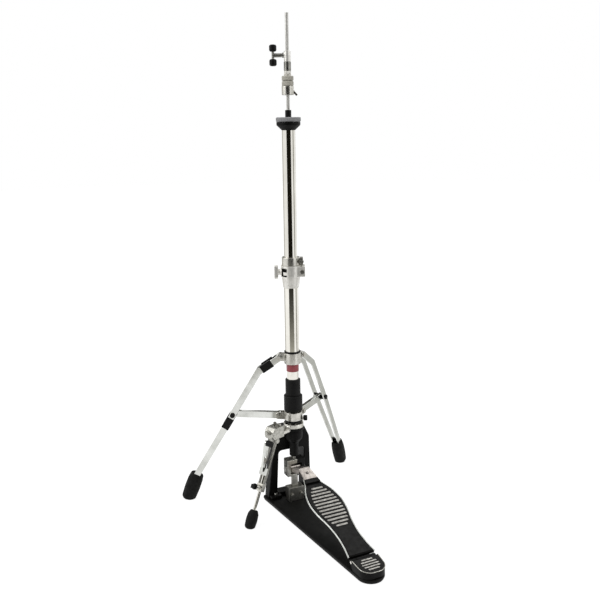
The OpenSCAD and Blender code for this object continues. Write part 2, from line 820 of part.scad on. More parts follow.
// Bolts of the frame, guide foot, spur clamp and height clamp, and the spur's pivot pin
module key_bolts() {
    guide_bolt_x = guide_w * 0.3;
    color(chrome) {
        for (side = [-1, 1]) {
            translate([side * pad_mid_x, frame_y - pad_len / 2, base_top + pad_h]) hex_head();
            translate([side * guide_bolt_x, -guide_d / 2, (base_top + guide_top) / 2])
                rotate([90, 0, 0]) hex_head();
        }
        in_plane(spur_turn) {
            for (side = [-1, 1])
                translate([spur_clamp_r + spur_bolt_in, side * spur_clamp_w / 4, spur_clamp_z + spur_clamp_h])
                    hex_head();
            translate([spur_clamp_r + spur_clamp_len, 0, spur_clamp_z + spur_clamp_h - spur_key_drop])
                rotate([0, 90, 0]) key_bolt(key_shank_r, 0, key_head, 2 * key_head_h);
            at_point(spur_pivot) headed_pin(spur_side + face_gap);
        }
        rotate([0, 0, clamp_turn])
            translate([clamp_bolt_x, -clamp_ear_w / 2, clamp_body_z + clamp_body_h / 2])
            rotate([90, 0, 0]) clamp_bolt();
    }
}

// Six-sided bolt head standing on z = 0
module hex_head() {
    cylinder(r = key_head / 2, h = key_head_h, $fn = 6);
}

// Bolt across the height clamp's ear: head on one side, nut on the other
module clamp_bolt() {
    translate([0, 0, -clamp_ear_w]) cylinder(r = ear_bolt_r, h = clamp_ear_w);
    cylinder(r = ear_bolt_head_r, h = ear_bolt_head_h);
    translate([0, 0, -clamp_ear_w - ear_bolt_head_h])
        cylinder(r = ear_bolt_head_r, h = ear_bolt_head_h, $fn = 6);
}

module guide_foot() {
    color(dark_steel) difference() {
        box([-guide_w / 2, -guide_d / 2, base_top], [guide_w / 2, guide_d / 2, guide_top]);
        box(
            [-strap_w / 2 - face_gap, -strap_t / 2 - face_gap, base_top - past],
            [strap_w / 2 + face_gap, strap_t / 2 + face_gap, guide_top + past]
        );
    }
}

// Heel plate: a wedge with a round rear, and the outer knuckles of the hinge
module heel_plate() {
    corners = [
        [heel_half_w, heel_front_y], [-heel_half_w, heel_front_y],
        [-heel_half_w * 0.9, heel_rear_y], [heel_half_w * 0.9, heel_rear_y]
    ];
    front_r = 2;
    knuckle_in = knuckle_half_w + face_gap;
    half = (hinge_half_w - knuckle_in) / 2;
    color(black) difference() {
        union() {
            difference() {
                translate([0, 0, base_top]) linear_extrude(heel_front_h + past)
                    polygon(rounded(corners, [front_r, front_r, heel_r, heel_r]));
                translate([0, heel_front_y, base_top + heel_front_h]) rotate([heel_fall, 0, 0])
                    translate([-cut_size / 2, -cut_size, 0]) cube([cut_size, cut_size + past, cut_size]);
            }
            for (side = [-1, 1])
                translate([side * (knuckle_in + hinge_half_w) / 2, hinge_y, 0]) {
                    translate([0, 0, hinge_z]) x_bar(knuckle_r, -half, half);
                    box([-half, heel_front_y - hinge_y - past, base_top], [half, 0, hinge_z]);
                }
        }
        translate([0, hinge_y, hinge_z])
            x_bar(hinge_pin_r + press_fit, -heel_half_w - past, heel_half_w + past);
    }
}

module heel_ribs() {
    count = floor((heel_field_half_l - heel_rib_w / 2) / heel_rib_pitch);
    color(light_metal) translate([0, heel_front_y, base_top + heel_front_h]) rotate([heel_fall, 0, 0])
        translate([0, -heel_len / 2 + 1, 0])
            for (i = [-count : count])
                translate([0, i * heel_rib_pitch, 0])
                    rib(max(heel_rib_w, oval(i * heel_rib_pitch, heel_field_half_l, heel_field_half_w)),
                        heel_rib_w);
}

module hinge_pin() {
    color(chrome) translate([0, hinge_y, hinge_z]) x_bar(hinge_pin_r, -hinge_half_w, hinge_half_w);
}

// Ring on the frame with an arm out to the spur clamp
module frame_yoke() {
    arm_z = column_seat_z + yoke_arm_lift;
    color(chrome) difference() {
        union() {
            translate([0, 0, column_seat_z]) cylinder(r = yoke_r, h = yoke_h);
            in_plane(spur_turn)
                box([column_r, -yoke_arm_w / 2, arm_z], [spur_clamp_r, yoke_arm_w / 2, arm_z + yoke_arm_h]);
        }
        translate([0, 0, column_seat_z - past]) cylinder(r = column_r + press_fit, h = yoke_h + 2 * past);
    }
}

// Column: thin below, full inside the lower tube
module column() {
    color(chrome) difference() {
        union() {
            translate([0, 0, column_seat_z]) cylinder(r = column_r, h = tube_z - column_seat_z + past);
            translate([0, 0, tube_z]) cylinder(r = lower_in_r - press_fit, h = column_overlap);
        }
        translate([0, 0, column_seat_z - past])
            cylinder(r = column_in_r, h = tube_z + column_overlap - column_seat_z + 2 * past);
    }
}

module return_spring() {
    color(dark_steel) tube(spring_r, spring_r - spring_wire, spring_z, spring_z + spring_len);
}

module red_band() {
    color(red) tube(column_r + band_t, column_r + press_fit, band_z, band_z + band_h);
}

module lower_tube() {
    color(chrome) tube(lower_r, lower_in_r, tube_z, tube_top);
}

// Height clamp: sleeve on the lower tube, body above it, split ear at one side, screw boss at the other
module clamp_body() {
    sleeve_z0 = clamp_body_z - clamp_sleeve_h;
    taper_r = lower_r + tube_wall;
    boss_end = clamp_body_r + clamp_screw_boss_len;
    color(chrome) rotate([0, 0, clamp_turn]) difference() {
        union() {
            translate([0, 0, sleeve_z0]) cylinder(r1 = taper_r, r2 = clamp_sleeve_r, h = clamp_sleeve_h);
            translate([0, 0, clamp_body_z]) cylinder(r = clamp_body_r, h = clamp_body_h);
            box(
                [0, -clamp_ear_w / 2, clamp_body_z + ear_edge],
                [clamp_ear_reach, clamp_ear_w / 2, clamp_top - ear_edge]
            );
            translate([0, 0, clamp_screw_z]) x_bar(clamp_screw_boss_r, -boss_end, -lower_r);
        }
        translate([0, 0, sleeve_z0 - past])
            cylinder(r = lower_r + press_fit, h = clamp_top - sleeve_z0 + 2 * past);
        box([0, -clamp_slit / 2, clamp_body_z], [clamp_ear_reach + past, clamp_slit / 2, clamp_top + past]);
        translate([0, 0, clamp_screw_z]) x_bar(clamp_screw_r + run_fit, -boss_end - past, -lower_r + past);
        translate([clamp_bolt_x, 0, clamp_body_z + clamp_body_h / 2])
            y_bar(ear_bolt_r + press_fit, -clamp_ear_w, clamp_ear_w);
    }
}

module clamp_bush() {
    color(black) tube(lower_r, upper_r + run_fit, tube_top, clamp_top);
}

// Screw of the height clamp with an upright wing
module clamp_wing_screw() {
    collar_x = -clamp_body_r - clamp_screw_boss_len - face_gap;
    wing_t = 7;
    wing_w = 8;
    straight = clamp_wing_len / 2 - wing_w / 2;
    color(chrome) rotate([0, 0, clamp_turn]) translate([0, 0, clamp_screw_z]) {
        x_bar(clamp_screw_r, -clamp_wing_reach, -lower_r - face_gap);
        x_bar(clamp_screw_collar_r, -clamp_wing_reach, collar_x);
        translate([-clamp_wing_reach - wing_t / 2, 0, 0]) {
            box([-wing_t / 2, -wing_w / 2, -straight], [wing_t / 2, wing_w / 2, straight]);
            for (side = [-1, 1])
                translate([0, 0, side * straight]) x_bar(wing_w / 2, -wing_t / 2, wing_t / 2);
        }
    }
}

// Memory lock: split ring with an ear for its key screw
module memory_lock() {
    ear_w = lock_ear_half_w;
    color(chrome) rotate([0, 0, clamp_turn]) difference() {
        union() {
            translate([0, 0, lock_z]) cylinder(r = lock_r, h = lock_h);
            box([0, -ear_w, lock_z + ear_edge], [lock_ear_reach, ear_w, lock_z + lock_h - ear_edge]);
        }
        translate([0, 0, lock_z - past]) cylinder(r = upper_r + run_fit, h = lock_h + 2 * past);
        box([0, -clamp_slit / 2, lock_z - past],
            [lock_ear_reach + past, clamp_slit / 2, lock_z + lock_h + past]);
        translate([lock_screw_x, 0, lock_z + lock_h / 2])
            y_bar(ear_bolt_r + press_fit, -2 * ear_w, 2 * ear_w);
    }
}

module lock_screw() {
    head = 6;
    color(dark_steel) rotate([0, 0, clamp_turn])
        translate([lock_screw_x, -lock_ear_half_w, lock_z + lock_h / 2]) rotate([90, 0, 0])
            key_bolt(ear_bolt_r, 2 * lock_ear_half_w, head, key_head);
}

module upper_tube() {
    color(chrome) tube(upper_r, upper_in_r, upper_z, seat_z);
}

// Rod bush: plug in the upper tube and neck through the cup and felt
module seat_bush() {
    color(black) difference() {
        union() {
            translate([0, 0, seat_z - bush_plug_h]) cylinder(r = upper_in_r - press_fit, h = bush_plug_h);
            translate([0, 0, seat_z - past]) cylinder(r = bush_neck_r, h = bush_neck_h + past);
        }
        translate([0, 0, seat_z - bush_plug_h - past])
            cylinder(r = rod_r + run_fit, h = bush_plug_h + bush_neck_h + 2 * past);
    }
}

module seat_cup() {
    bore_r = bush_neck_r + press_fit;
    color(black) rotate_extrude() polygon([
        [bore_r, seat_z], [upper_r, seat_z], [cup_r, seat_felt_z - cup_rim_h], [cup_r, seat_felt_z],
        [bore_r, seat_felt_z]
    ]);
}

module seat_felt() {
    color(felt_dark) tube(seat_felt_r, bush_neck_r + press_fit, seat_felt_z, seat_felt_z + seat_felt_h);
}

// Upper and lower lengths of the pull rod, meeting inside the coupler
module pull_rods() {
    low_len = coupler_z - face_gap - block_window_top;
    color(chrome) {
        difference() {
            translate([0, 0, coupler_z]) cylinder(r = rod_r, h = rod_top - coupler_z);
            tube(rod_r + past, rod_r - rod_mark_depth, rod_mark_z, rod_mark_z + rod_mark_w);
        }
        translate([0, 0, block_window_top]) cylinder(r = rod_r, h = low_len);
    }
}

module rod_coupler() {
    color(dark_steel) difference() {
        translate([0, 0, coupler_z - coupler_len / 2]) cylinder(r = coupler_r, h = coupler_len, $fn = 6);
        translate([0, 0, coupler_z - coupler_len]) cylinder(r = rod_r + press_fit, h = 2 * coupler_len);
    }
}

module spring_flange() {
    color(dark_steel) tube(flange_r, rod_r + press_fit, flange_z, flange_z + flange_h);
}

// Block on the pull rod's foot: a window takes the toe bracket's tongue, a strap below runs in the guide foot
module pull_block() {
    side_in = tongue_w / 2 + window_side_gap;
    color(dark_steel) difference() {
        union() {
            box([-block_w / 2, -block_d / 2, block_z], [block_w / 2, block_d / 2, block_top]);
            box([-strap_w / 2, -strap_t / 2, strap_z], [strap_w / 2, strap_t / 2, block_z + past]);
        }
        box([-side_in, -block_d, block_window_z], [side_in, block_d, block_window_top]);
        translate([0, 0, block_window_top - past])
            cylinder(r = rod_r + press_fit, h = block_head_t + 2 * past);
        translate([0, 0, pull_pin_z]) x_bar(pull_pin_r + press_fit, -block_w, block_w);
    }
}

module pull_pin() {
    color(chrome) translate([0, 0, pull_pin_z]) {
        x_bar(pull_pin_r, -block_w / 2, block_w / 2);
        for (side = [-1, 1])
            translate([side * (block_w + pin_head_h) / 2, 0, 0])
                x_bar(pin_head_r, -pin_head_h / 2, pin_head_h / 2);
    }
}

// Clutch: stem that carries the felts, head with a boss for the wing screw
module clutch_body() {
    color(chrome) rotate([0, 0, clamp_turn]) difference() {
        union() {
            translate([0, 0, nut_z]) cylinder(r = stem_r, h = head_top - nut_z);
            translate([0, 0, head_z]) cylinder(r = head_r, h = head_h);
            translate([0, 0, wing_z]) x_bar(wing_boss_r, -head_r - wing_boss_len, 0);
        }
        translate([0, 0, nut_z - past]) cylinder(r = rod_r + run_fit, h = head_top - nut_z + 2 * past);
        translate([0, 0, wing_z]) x_bar(wing_screw_r + run_fit, -2 * head_r, -rod_r / 2);
    }
}

module clutch_nuts() {
    split = lock_nuts_z + lock_nut_low_h;
    color(dark_steel) difference() {
        union() {
            translate([0, 0, lock_nuts_z]) cylinder(r = lock_nut_low_r, h = lock_nut_low_h - face_gap / 2);
            translate([0, 0, split]) cylinder(r = lock_nut_r, h = lock_nut_high_h, $fn = 12);
        }
        translate([0, 0, lock_nuts_z - past])
            cylinder(r = stem_r + press_fit, h = lock_nut_low_h + lock_nut_high_h + 2 * past);
    }
}

module clutch_felts() {
    color(felt) for (z = [felts_z, felts_z + clutch_felt_h + face_gap])
        tube(clutch_felt_r, stem_r + press_fit, z, z + clutch_felt_h);
}

// Bottom nut with a quick-release lever that hangs at its side
module clutch_bottom_nut() {
    lever_w = 6;
    lever_t = 4;
    lever_slope = 50;
    color(chrome) difference() {
        union() {
            translate([0, 0, nut_z]) cylinder(r = bottom_nut_r, h = bottom_nut_h);
            rotate([0, 0, clamp_turn])
                translate([bottom_nut_r - 2, 0, nut_z + bottom_nut_h / 2]) rotate([0, lever_slope, 0])
                    box([0, -lever_w / 2, -lever_t / 2], [lever_len, lever_w / 2, lever_t / 2]);
        }
        translate([0, 0, nut_z - past]) cylinder(r = stem_r + press_fit, h = bottom_nut_h + 2 * past);
    }
}

// Wing screw of the clutch: shank and cross bar
module clutch_wing_screw() {
    color(chrome) rotate([0, 0, clamp_turn]) translate([0, 0, wing_z]) {
        x_bar(wing_screw_r, -wing_reach, -rod_r - face_gap);
        x_bar(wing_collar_r, -wing_reach, -head_r - wing_boss_len - face_gap);
        translate([-wing_reach, 0, -wing_tip_offset]) cylinder(r = wing_screw_r, h = 2 * wing_tip_offset);
    }
}

// Soft black tips on the cross bar
module clutch_wing_tips() {
    half_h = wing_tip_h / 2;
    round_r = wing_tip_r / 2;
    bore_r = wing_screw_r + press_fit;
    low = [wing_tip_r, -half_h];
    high = [wing_tip_r, half_h];
    profile = concat(
        [[0, face_gap], [bore_r, face_gap], [bore_r, -half_h]],
        corner_arc([bore_r, -half_h], low, high, round_r, 5),
        corner_arc(low, high, [0, half_h], round_r, 5),
        [[0, half_h]]
    );
    color(black) rotate([0, 0, clamp_turn]) translate([-wing_reach, 0, wing_z])
        for (flip = [0, 180])
            rotate([flip, 0, 0]) translate([0, 0, wing_tip_offset]) rotate_extrude() polygon(profile);
}

module tension_sleeve() {
    bore_r = column_r + run_fit;
    edge = 1.5;
    step_z = sleeve_z + sleeve_low_h;
    color(black) rotate_extrude() polygon([
        [bore_r, sleeve_z], [sleeve_low_r - edge, sleeve_z], [sleeve_low_r, sleeve_z + edge],
        [sleeve_low_r, step_z - edge], [sleeve_low_r - edge, step_z], [sleeve_high_r, step_z],
        [sleeve_high_r, sleeve_top - edge], [sleeve_high_r - edge, sleeve_top], [bore_r, sleeve_top]
    ]);
}

// Hub: ring on the column with two cheeks for each brace and a boss for its screw
module tripod_hub() {
    color(chrome) difference() {
        union() {
            translate([0, 0, hub_z]) cylinder(r = hub_r, h = hub_h);
            for (turn = [left_turn, right_turn], side = [-1, 1])
                in_plane(turn) at_point(brace_pivot)
                    translate([0, side * (cheek_in + cheek_out) / 2, 0]) {
                        y_bar(lug_r, -(cheek_out - cheek_in) / 2, (cheek_out - cheek_in) / 2);
                        box(
                            [column_r - brace_pivot_r, -(cheek_out - cheek_in) / 2, -lug_r],
                            [0, (cheek_out - cheek_in) / 2, lug_r]
                        );
                    }
            rotate([0, 0, clamp_turn]) translate([0, 0, hub_screw_z])
                x_bar(hub_boss_r, 0, hub_r + hub_boss_len);
        }
        translate([0, 0, hub_z - past]) cylinder(r = column_r + run_fit, h = hub_h + 2 * past);
        rotate([0, 0, clamp_turn]) translate([0, 0, hub_screw_z])
            x_bar(hub_screw_r + run_fit, 0, hub_r + hub_boss_len + past);
        for (turn = [left_turn, right_turn])
            in_plane(turn) at_point(brace_pivot)
                y_bar(pin_r + press_fit, -cheek_out - past, cheek_out + past);
    }
}

// Pins of the braces, with a head at each end
module brace_pins() {
    color(dark_steel) for (turn = [left_turn, right_turn])
        in_plane(turn) at_point(brace_pivot) headed_pin(cheek_out);
}

// Pin of half length `half` with a flat head beyond each end
module headed_pin(half) {
    y_bar(pin_r, -half, half);
    for (side = [-1, 1])
        translate([0, side * (half + pin_head_h / 2), 0])
            y_bar(pin_head_r, -pin_head_h / 2, pin_head_h / 2);
}

// Black screw that locks the tripod's turn
module hub_screw() {
    head_x = hub_r + hub_boss_len + face_gap;
    knob_len = 8;
    knob_r = 5.5;
    bar_half = [knob_len * 0.3, knob_r * 1.55, knob_r * 0.55];
    color(black) rotate([0, 0, clamp_turn]) translate([0, 0, hub_screw_z]) {
        x_bar(hub_screw_r, column_r + face_gap, head_x + past);
        x_bar(knob_r, head_x, head_x + knob_len);
        translate([head_x + knob_len / 2, 0, 0]) box(-bar_half, bar_half);
    }
}

// Upper collar: ring on the lower tube with a lug for each leg
module tripod_collar() {
    color(chrome) difference() {
        union() {
            translate([0, 0, tube_z]) cylinder(r = collar_r, h = collar_h);
            for (turn = [left_turn, right_turn])
                in_plane(turn) at_point(leg_pivot) {
                    y_bar(lug_r, -lug_w / 2, lug_w / 2);
                    box([column_r - leg_pivot_r, -lug_w / 2, -lug_r], [0, lug_w / 2, lug_r]);
                }
        }
        translate([0, 0, tube_z - past]) cylinder(r = lower_r + run_fit, h = collar_h + 2 * past);
        for (turn = [left_turn, right_turn])
            in_plane(turn) at_point(leg_pivot) y_bar(pin_r + press_fit, -lug_w, lug_w);
    }
}

module collar_ring() {
    ring_z = tube_z + collar_h;
    color(black) tube(collar_r - collar_ring_step, lower_r + run_fit, ring_z, ring_z + collar_ring_h);
}

module collar_pins() {
    color(chrome) for (turn = [left_turn, right_turn])
        in_plane(turn) at_point(leg_pivot) headed_pin(bar_out + face_gap);
}

// Leg bar drawn flat: round at the pivot, bent at the knee, straight on beyond the foot's end
module leg_outline() {
    half = bar_w / 2;
    top_side = [sin(leg_top_slope), cos(leg_top_slope)];
    low_side = [sin(leg_slope), cos(leg_slope)];
    low_way = [cos(leg_slope), -sin(leg_slope)];
    mitre = unit(top_side + low_side) * half / cos((leg_slope - leg_top_slope) / 2);
    tail = knee + (mid_bar_len + low_bar_len + past) * low_way;
    end_turn = 90 - leg_top_slope;
    end_arc = [for (a = [0 : 12 : 180]) leg_pivot + half * [cos(end_turn + a), sin(end_turn + a)]];
    polygon(concat(
        [tail - half * low_side, tail + half * low_side, knee + mitre],
        end_arc,
        [knee - mitre]
    ));
}

// One leg bar: what is left of the flat outline inside a strip that turns inward below the brace joint
module leg_bar(side) {
    high_y = side * bar_spacing / 2;
    low_y = side * bar_foot_spacing / 2;
    start_x = -norm(knee - leg_pivot) - bar_w;
    bend_x = mid_bar_len + bend_lead;
    end_x = mid_bar_len + low_bar_len;
    half_t = bar_t / 2;
    intersection() {
        translate([0, bar_spacing, 0]) rotate([90, 0, 0]) linear_extrude(2 * bar_spacing) leg_outline();
        down_slope(knee, leg_slope) translate([0, 0, start_x]) linear_extrude(-2 * start_x) polygon([
            [start_x, high_y - half_t], [bend_x, high_y - half_t], [end_x, low_y - half_t],
            [end_x, low_y + half_t], [bend_x, high_y + half_t], [start_x, high_y + half_t]
        ]);
    }
}

// Both bars of a leg, with holes for the collar's pin and the leg's own bush
module leg_bars(turn) {
    reach = 2 * bar_spacing;
    color(chrome) in_plane(turn) difference() {
        for (side = [-1, 1]) leg_bar(side);
        at_point(leg_pivot) y_bar(pin_r + run_fit, -reach, reach);
        at_point(brace_joint) y_bar(pin_r + press_fit, -reach, reach);
    }
}

// Black bush across a leg that carries the end of the brace
module leg_bush(turn) {
    spacer_in = brace_t / 2 + face_gap;
    spacer_len = bar_in - press_fit - spacer_in;
    color(black) in_plane(turn) at_point(brace_joint) {
        headed_pin(bar_out + press_fit);
        for (side = [-1, 1])
            translate([0, side * (spacer_in + spacer_len / 2), 0])
                y_bar(bush_spacer_r, -spacer_len / 2, spacer_len / 2);
    }
}

// One black sleeve around a leg bar, starting at x0 down the bar
module leg_sleeve(x0) {
    gap = press_fit;
    wall = leg_sleeve_wall;
    difference() {
        box(
            [x0, -bar_t / 2 - gap - wall, -bar_w / 2 - gap - wall],
            [x0 + leg_sleeve_len, bar_t / 2 + gap + wall, bar_w / 2 + gap + wall]
        );
        box(
            [x0 - past, -bar_t / 2 - gap, -bar_w / 2 - gap],
            [x0 + leg_sleeve_len + past, bar_t / 2 + gap, bar_w / 2 + gap]
        );
    }
}

module left_leg_sleeves() {
    high_x = top_bar_len - leg_sleeve_len - leg_sleeve_to_knee;
    low_x = leg_sleeve_wall;
    color(black) in_plane(left_turn) for (side = [-1, 1])
        translate([0, side * bar_spacing / 2, 0]) {
            down_slope(leg_pivot, leg_top_slope) leg_sleeve(high_x);
            down_slope(brace_joint, leg_slope) translate([bend_lead, 0, 0])
                rotate([0, 0, -side * bar_turn_in]) leg_sleeve(low_x);
        }
}

// Rubber foot: rounded oblong boot along its own axis, cut flat at the floor, with a pocket for the bars
module leg_foot(turn) {
    foot_len = foot_up + foot_cross_z / sin(foot_slope) + boot_sink;
    profile = concat([[0, 0]], boot(foot_mouth_r, foot_r, foot_len), [[0, foot_len]]);
    pocket_y = bar_foot_spacing / 2 + bar_t / 2 + foot_grip * tan(bar_turn_in) + face_gap;
    pocket_z = bar_w / 2 + face_gap;
    pocket_x = norm(foot_cross - brace_joint) - foot_grip * 2;
    color(rubber) in_plane(turn) difference() {
        down_slope(foot_cross, foot_slope) translate([-foot_up, 0, 0]) rotate([0, 90, 0]) {
            for (side = [-1, 1])
                translate([side * foot_stretch / 2, 0, 0]) rotate_extrude() polygon(profile);
            translate([-foot_stretch / 2, 0, 0]) rotate([90, 0, 90]) linear_extrude(foot_stretch)
                polygon(concat(profile,
                    [for (i = [len(profile) - 2 : -1 : 1]) [-profile[i][0], profile[i][1]]]));
        }
        down_slope(brace_joint, leg_slope)
            box([pocket_x, -pocket_y, -pocket_z], [low_bar_len + face_gap, pocket_y, pocket_z]);
        translate([0, -cut_size / 2, -cut_size]) cube([cut_size, cut_size, cut_size]);
    }
}

// Brace bar: eye on the hub's pin, slot around the leg's bush
module brace(turn) {
    slot_in = brace_len - brace_slip;
    slot_out = brace_len + brace_slip * 0.25;
    end = slot_out + brace_slot_r + 3;
    color(chrome) in_plane(turn) at_point(brace_pivot) difference() {
        union() {
            y_bar(brace_w / 2, -brace_t / 2, brace_t / 2);
            box([0, -brace_t / 2, -brace_w / 2], [end - 4, brace_t / 2, brace_w / 2]);
            translate([end - brace_w / 2, 0, 0]) y_bar(brace_w / 2, -brace_t / 2, brace_t / 2);
        }
        y_bar(pin_r + run_fit, -brace_t, brace_t);
        for (x = [slot_in, slot_out]) translate([x, 0, 0]) y_bar(brace_slot_r, -brace_t, brace_t);
        box([slot_in, -brace_t, -brace_slot_r], [slot_out, brace_t, brace_slot_r]);
    }
}

module left_leg_bars() {
    leg_bars(left_turn);
}
module left_leg_bush() {
    leg_bush(left_turn);
}
module left_foot() {
    leg_foot(left_turn);
}
module right_leg_bars() {
    leg_bars(right_turn);
}
module right_leg_bush() {
    leg_bush(right_turn);
}
module right_foot() {
    leg_foot(right_turn);
}
module left_brace() {
    brace(left_turn);
}
module right_brace() {
    brace(right_turn);
}

// Outline of the footboard, drawn in by `inset` and ended at `end`
module board_outline(inset, end) {
    side = [for (p = curve(board_side)) if (p[0] <= end) [p[0], p[1] - inset]];
    polygon(concat(
        [for (p = side) [p[1], max(p[0], board_start + inset)]],
        [for (i = [len(side) - 1 : -1 : 0]) [-side[i][1], max(side[i][0], board_start + inset)]]
    ));
}

module footboard() {
    tab_len = board_start + 6;
    color(light_metal) on_board() difference() {
        union() {
            translate([0, 0, board_lift - board_t]) linear_extrude(board_t) board_outline(0, board_end);
            x_bar(knuckle_r, -knuckle_half_w, knuckle_half_w);
            box([-knuckle_half_w, 0, -knuckle_r], [knuckle_half_w, tab_len, board_lift - board_t + past]);
        }
        x_bar(hinge_pin_r + run_fit, -knuckle_half_w - past, knuckle_half_w + past);
    }
}

module footboard_pad() {
    color(black) on_board() translate([0, 0, board_lift]) linear_extrude(pad_t)
        board_outline(rim_w, bracket_start - rim_w);
}

module footboard_ribs() {
    count = floor((rib_field_half_l - rib_w / 2) / rib_pitch);
    color(chrome) on_board() translate([0, rib_field_v, board_lift + pad_t])
        for (i = [-count : count])
            translate([0, i * rib_pitch, 0])
                rib(max(rib_w, oval(i * rib_pitch, rib_field_half_l, rib_field_half_w)), rib_w);
}

// Toe bracket: plate on the footboard's toe and a tongue down to the pull pin
module toe_bracket() {
    knee_point = [bracket_end - bracket_t, board_lift + bracket_t / 2];
    reach = [pin_v, pin_w] - knee_point;
    slope = atan2(-reach[1], reach[0]);
    slip_turn = atan2(pin_w, pin_v);
    slot_r = pull_pin_r + slot_gap;
    neck_half_w = tongue_w / 2;
    neck_end = pin_v + 2 * tongue_r;
    color(light_metal) on_board() difference() {
        intersection() {
            translate([0, 0, pin_w - tongue_w]) linear_extrude(board_lift - pin_w + 2 * tongue_w) polygon([
                [bracket_half_w, bracket_start], [neck_half_w, knee_point[0]], [neck_half_w, neck_end],
                [-neck_half_w, neck_end], [-neck_half_w, knee_point[0]], [-bracket_half_w, bracket_start]
            ]);
            union() {
                box([-tongue_w, bracket_start - past, board_lift],
                    [tongue_w, bracket_end, board_lift + bracket_t]);
                translate([0, knee_point[0], knee_point[1]]) rotate([-slope, 0, 0])
                    box([-tongue_w, 0, -tongue_h + bracket_t / 2], [tongue_w, norm(reach), bracket_t / 2]);
                translate([0, pin_v, pin_w]) x_bar(tongue_r, -tongue_w, tongue_w);
            }
        }
        translate([0, pin_v, pin_w]) rotate([slip_turn, 0, 0]) {
            for (y = [0, -pin_slip]) translate([0, y, 0]) x_bar(slot_r, -tongue_w, tongue_w);
            box([-tongue_w, -pin_slip, -slot_r], [tongue_w, 0, slot_r]);
        }
        translate([0, board_end + bracket_reach * bracket_hole_at, 0])
            cylinder(r = bracket_hole_r, h = board_lift + bracket_t + past);
    }
}

// Block at the end of the yoke's arm, with a lug below for the spur's pivot
module spur_clamp() {
    lug_half_w = spur_bar_gap / 2 - face_gap;
    lug_half_l = spur_eye_r + spur_boss_wall;
    edge = spur_clamp_h / 7;
    top = spur_clamp_z + spur_clamp_h;
    out = spur_clamp_r + spur_clamp_len;
    profile = [
        [spur_clamp_r, spur_clamp_z], [out - edge, spur_clamp_z], [out, spur_clamp_z + edge],
        [out, top - 2 * edge], [out - 2 * edge, top], [spur_clamp_r, top]
    ];
    color(chrome) in_plane(spur_turn) difference() {
        union() {
            translate([0, spur_clamp_w / 2, 0]) rotate([90, 0, 0]) linear_extrude(spur_clamp_w)
                polygon(profile);
            at_point(spur_pivot) {
                y_bar(lug_half_l, -lug_half_w, lug_half_w);
                box([-lug_half_l, -lug_half_w, 0],
                    [lug_half_l, lug_half_w, spur_clamp_z - spur_pivot[1] + past]);
            }
        }
        at_point(spur_pivot) y_bar(pin_r + press_fit, -spur_clamp_w, spur_clamp_w);
    }
}

module spur_bars() {
    color(chrome) on_spur() for (side = [-1, 1])
        translate([0, side * (spur_bar_gap + spur_bar_t) / 2, 0]) difference() {
            union() {
                y_bar(spur_eye_r, -spur_bar_t / 2, spur_bar_t / 2);
                box([0, -spur_bar_t / 2, -spur_bar_w / 2], [spur_bar_len, spur_bar_t / 2, spur_bar_w / 2]);
            }
            y_bar(pin_r + run_fit, -spur_bar_t, spur_bar_t);
        }
}

// Lock boss at the end of the bars: the rod slides through it, a screw stands out of it
module spur_boss() {
    boss_half = spur_rod_r + spur_boss_wall;
    stem_boss_r = spur_lock_r + spur_stem_wall;
    color(chrome) on_spur() difference() {
        union() {
            box([spur_bar_len, -spur_side, -boss_half],
                [spur_bar_len + spur_boss_len, spur_side, boss_half]);
            translate([spur_boss_mid, 0, 0]) cylinder(r = stem_boss_r, h = spur_boss_reach);
        }
        x_bar(spur_rod_r + run_fit, 0, spur_len);
        translate([spur_boss_mid, 0, spur_rod_r])
            cylinder(r = spur_lock_r + press_fit, h = spur_boss_reach);
    }
}

// Black knob of the stay and black lock screw of the rod
module spur_screws() {
    knob_r = 6;
    knob_len = 11;
    lock_head = 8;
    color(black) on_spur() {
        translate([stay_top[0], 0, stay_top[1]]) {
            y_bar(spur_knob_bolt_r, -stay_t / 2 - past, stay_t / 2 + past);
            y_bar(knob_r, stay_t / 2, stay_t / 2 + knob_len);
        }
        translate([spur_boss_mid, 0, spur_boss_reach])
            key_bolt(spur_lock_r, spur_boss_reach - spur_rod_r - face_gap, lock_head, lock_head);
    }
}

// Slotted stay from the knob down to the bars
module spur_stay() {
    run = stay_low - stay_top;
    slope = atan2(-run[1], run[0]);
    slot = [norm(run) / 4, norm(run) / 2];
    slot_r = stay_w * 0.22;
    foot_half = stay_w * 0.7;
    color(chrome) on_spur() difference() {
        union() {
            down_slope(stay_top, slope) {
                y_bar(stay_w / 2, -stay_t / 2, stay_t / 2);
                box([0, -stay_t / 2, -stay_w / 2], [norm(run), stay_t / 2, stay_w / 2]);
            }
            translate([stay_low[0], 0, spur_bar_w / 2])
                box([-foot_half, -spur_side, 0], [foot_half, spur_side, stay_w * 0.6]);
        }
        translate([stay_top[0], 0, stay_top[1]]) y_bar(spur_knob_bolt_r + press_fit, -stay_t, stay_t);
        down_slope(stay_top, slope) {
            for (x = slot) translate([x, 0, 0]) y_bar(slot_r, -stay_t, stay_t);
            box([slot[0], -stay_t, -slot_r], [slot[1], stay_t, slot_r]);
        }
        box([0, -spur_side - past, -cut_size], [spur_len, spur_side + past, spur_bar_w / 2]);
        x_bar(spur_rod_r + face_gap, 0, spur_len);
    }
}

module spur_rod() {
    color(chrome) on_spur()
        x_bar(spur_rod_r, spur_bar_len - spur_rod_up, spur_len - spur_foot_len * 0.5);
}

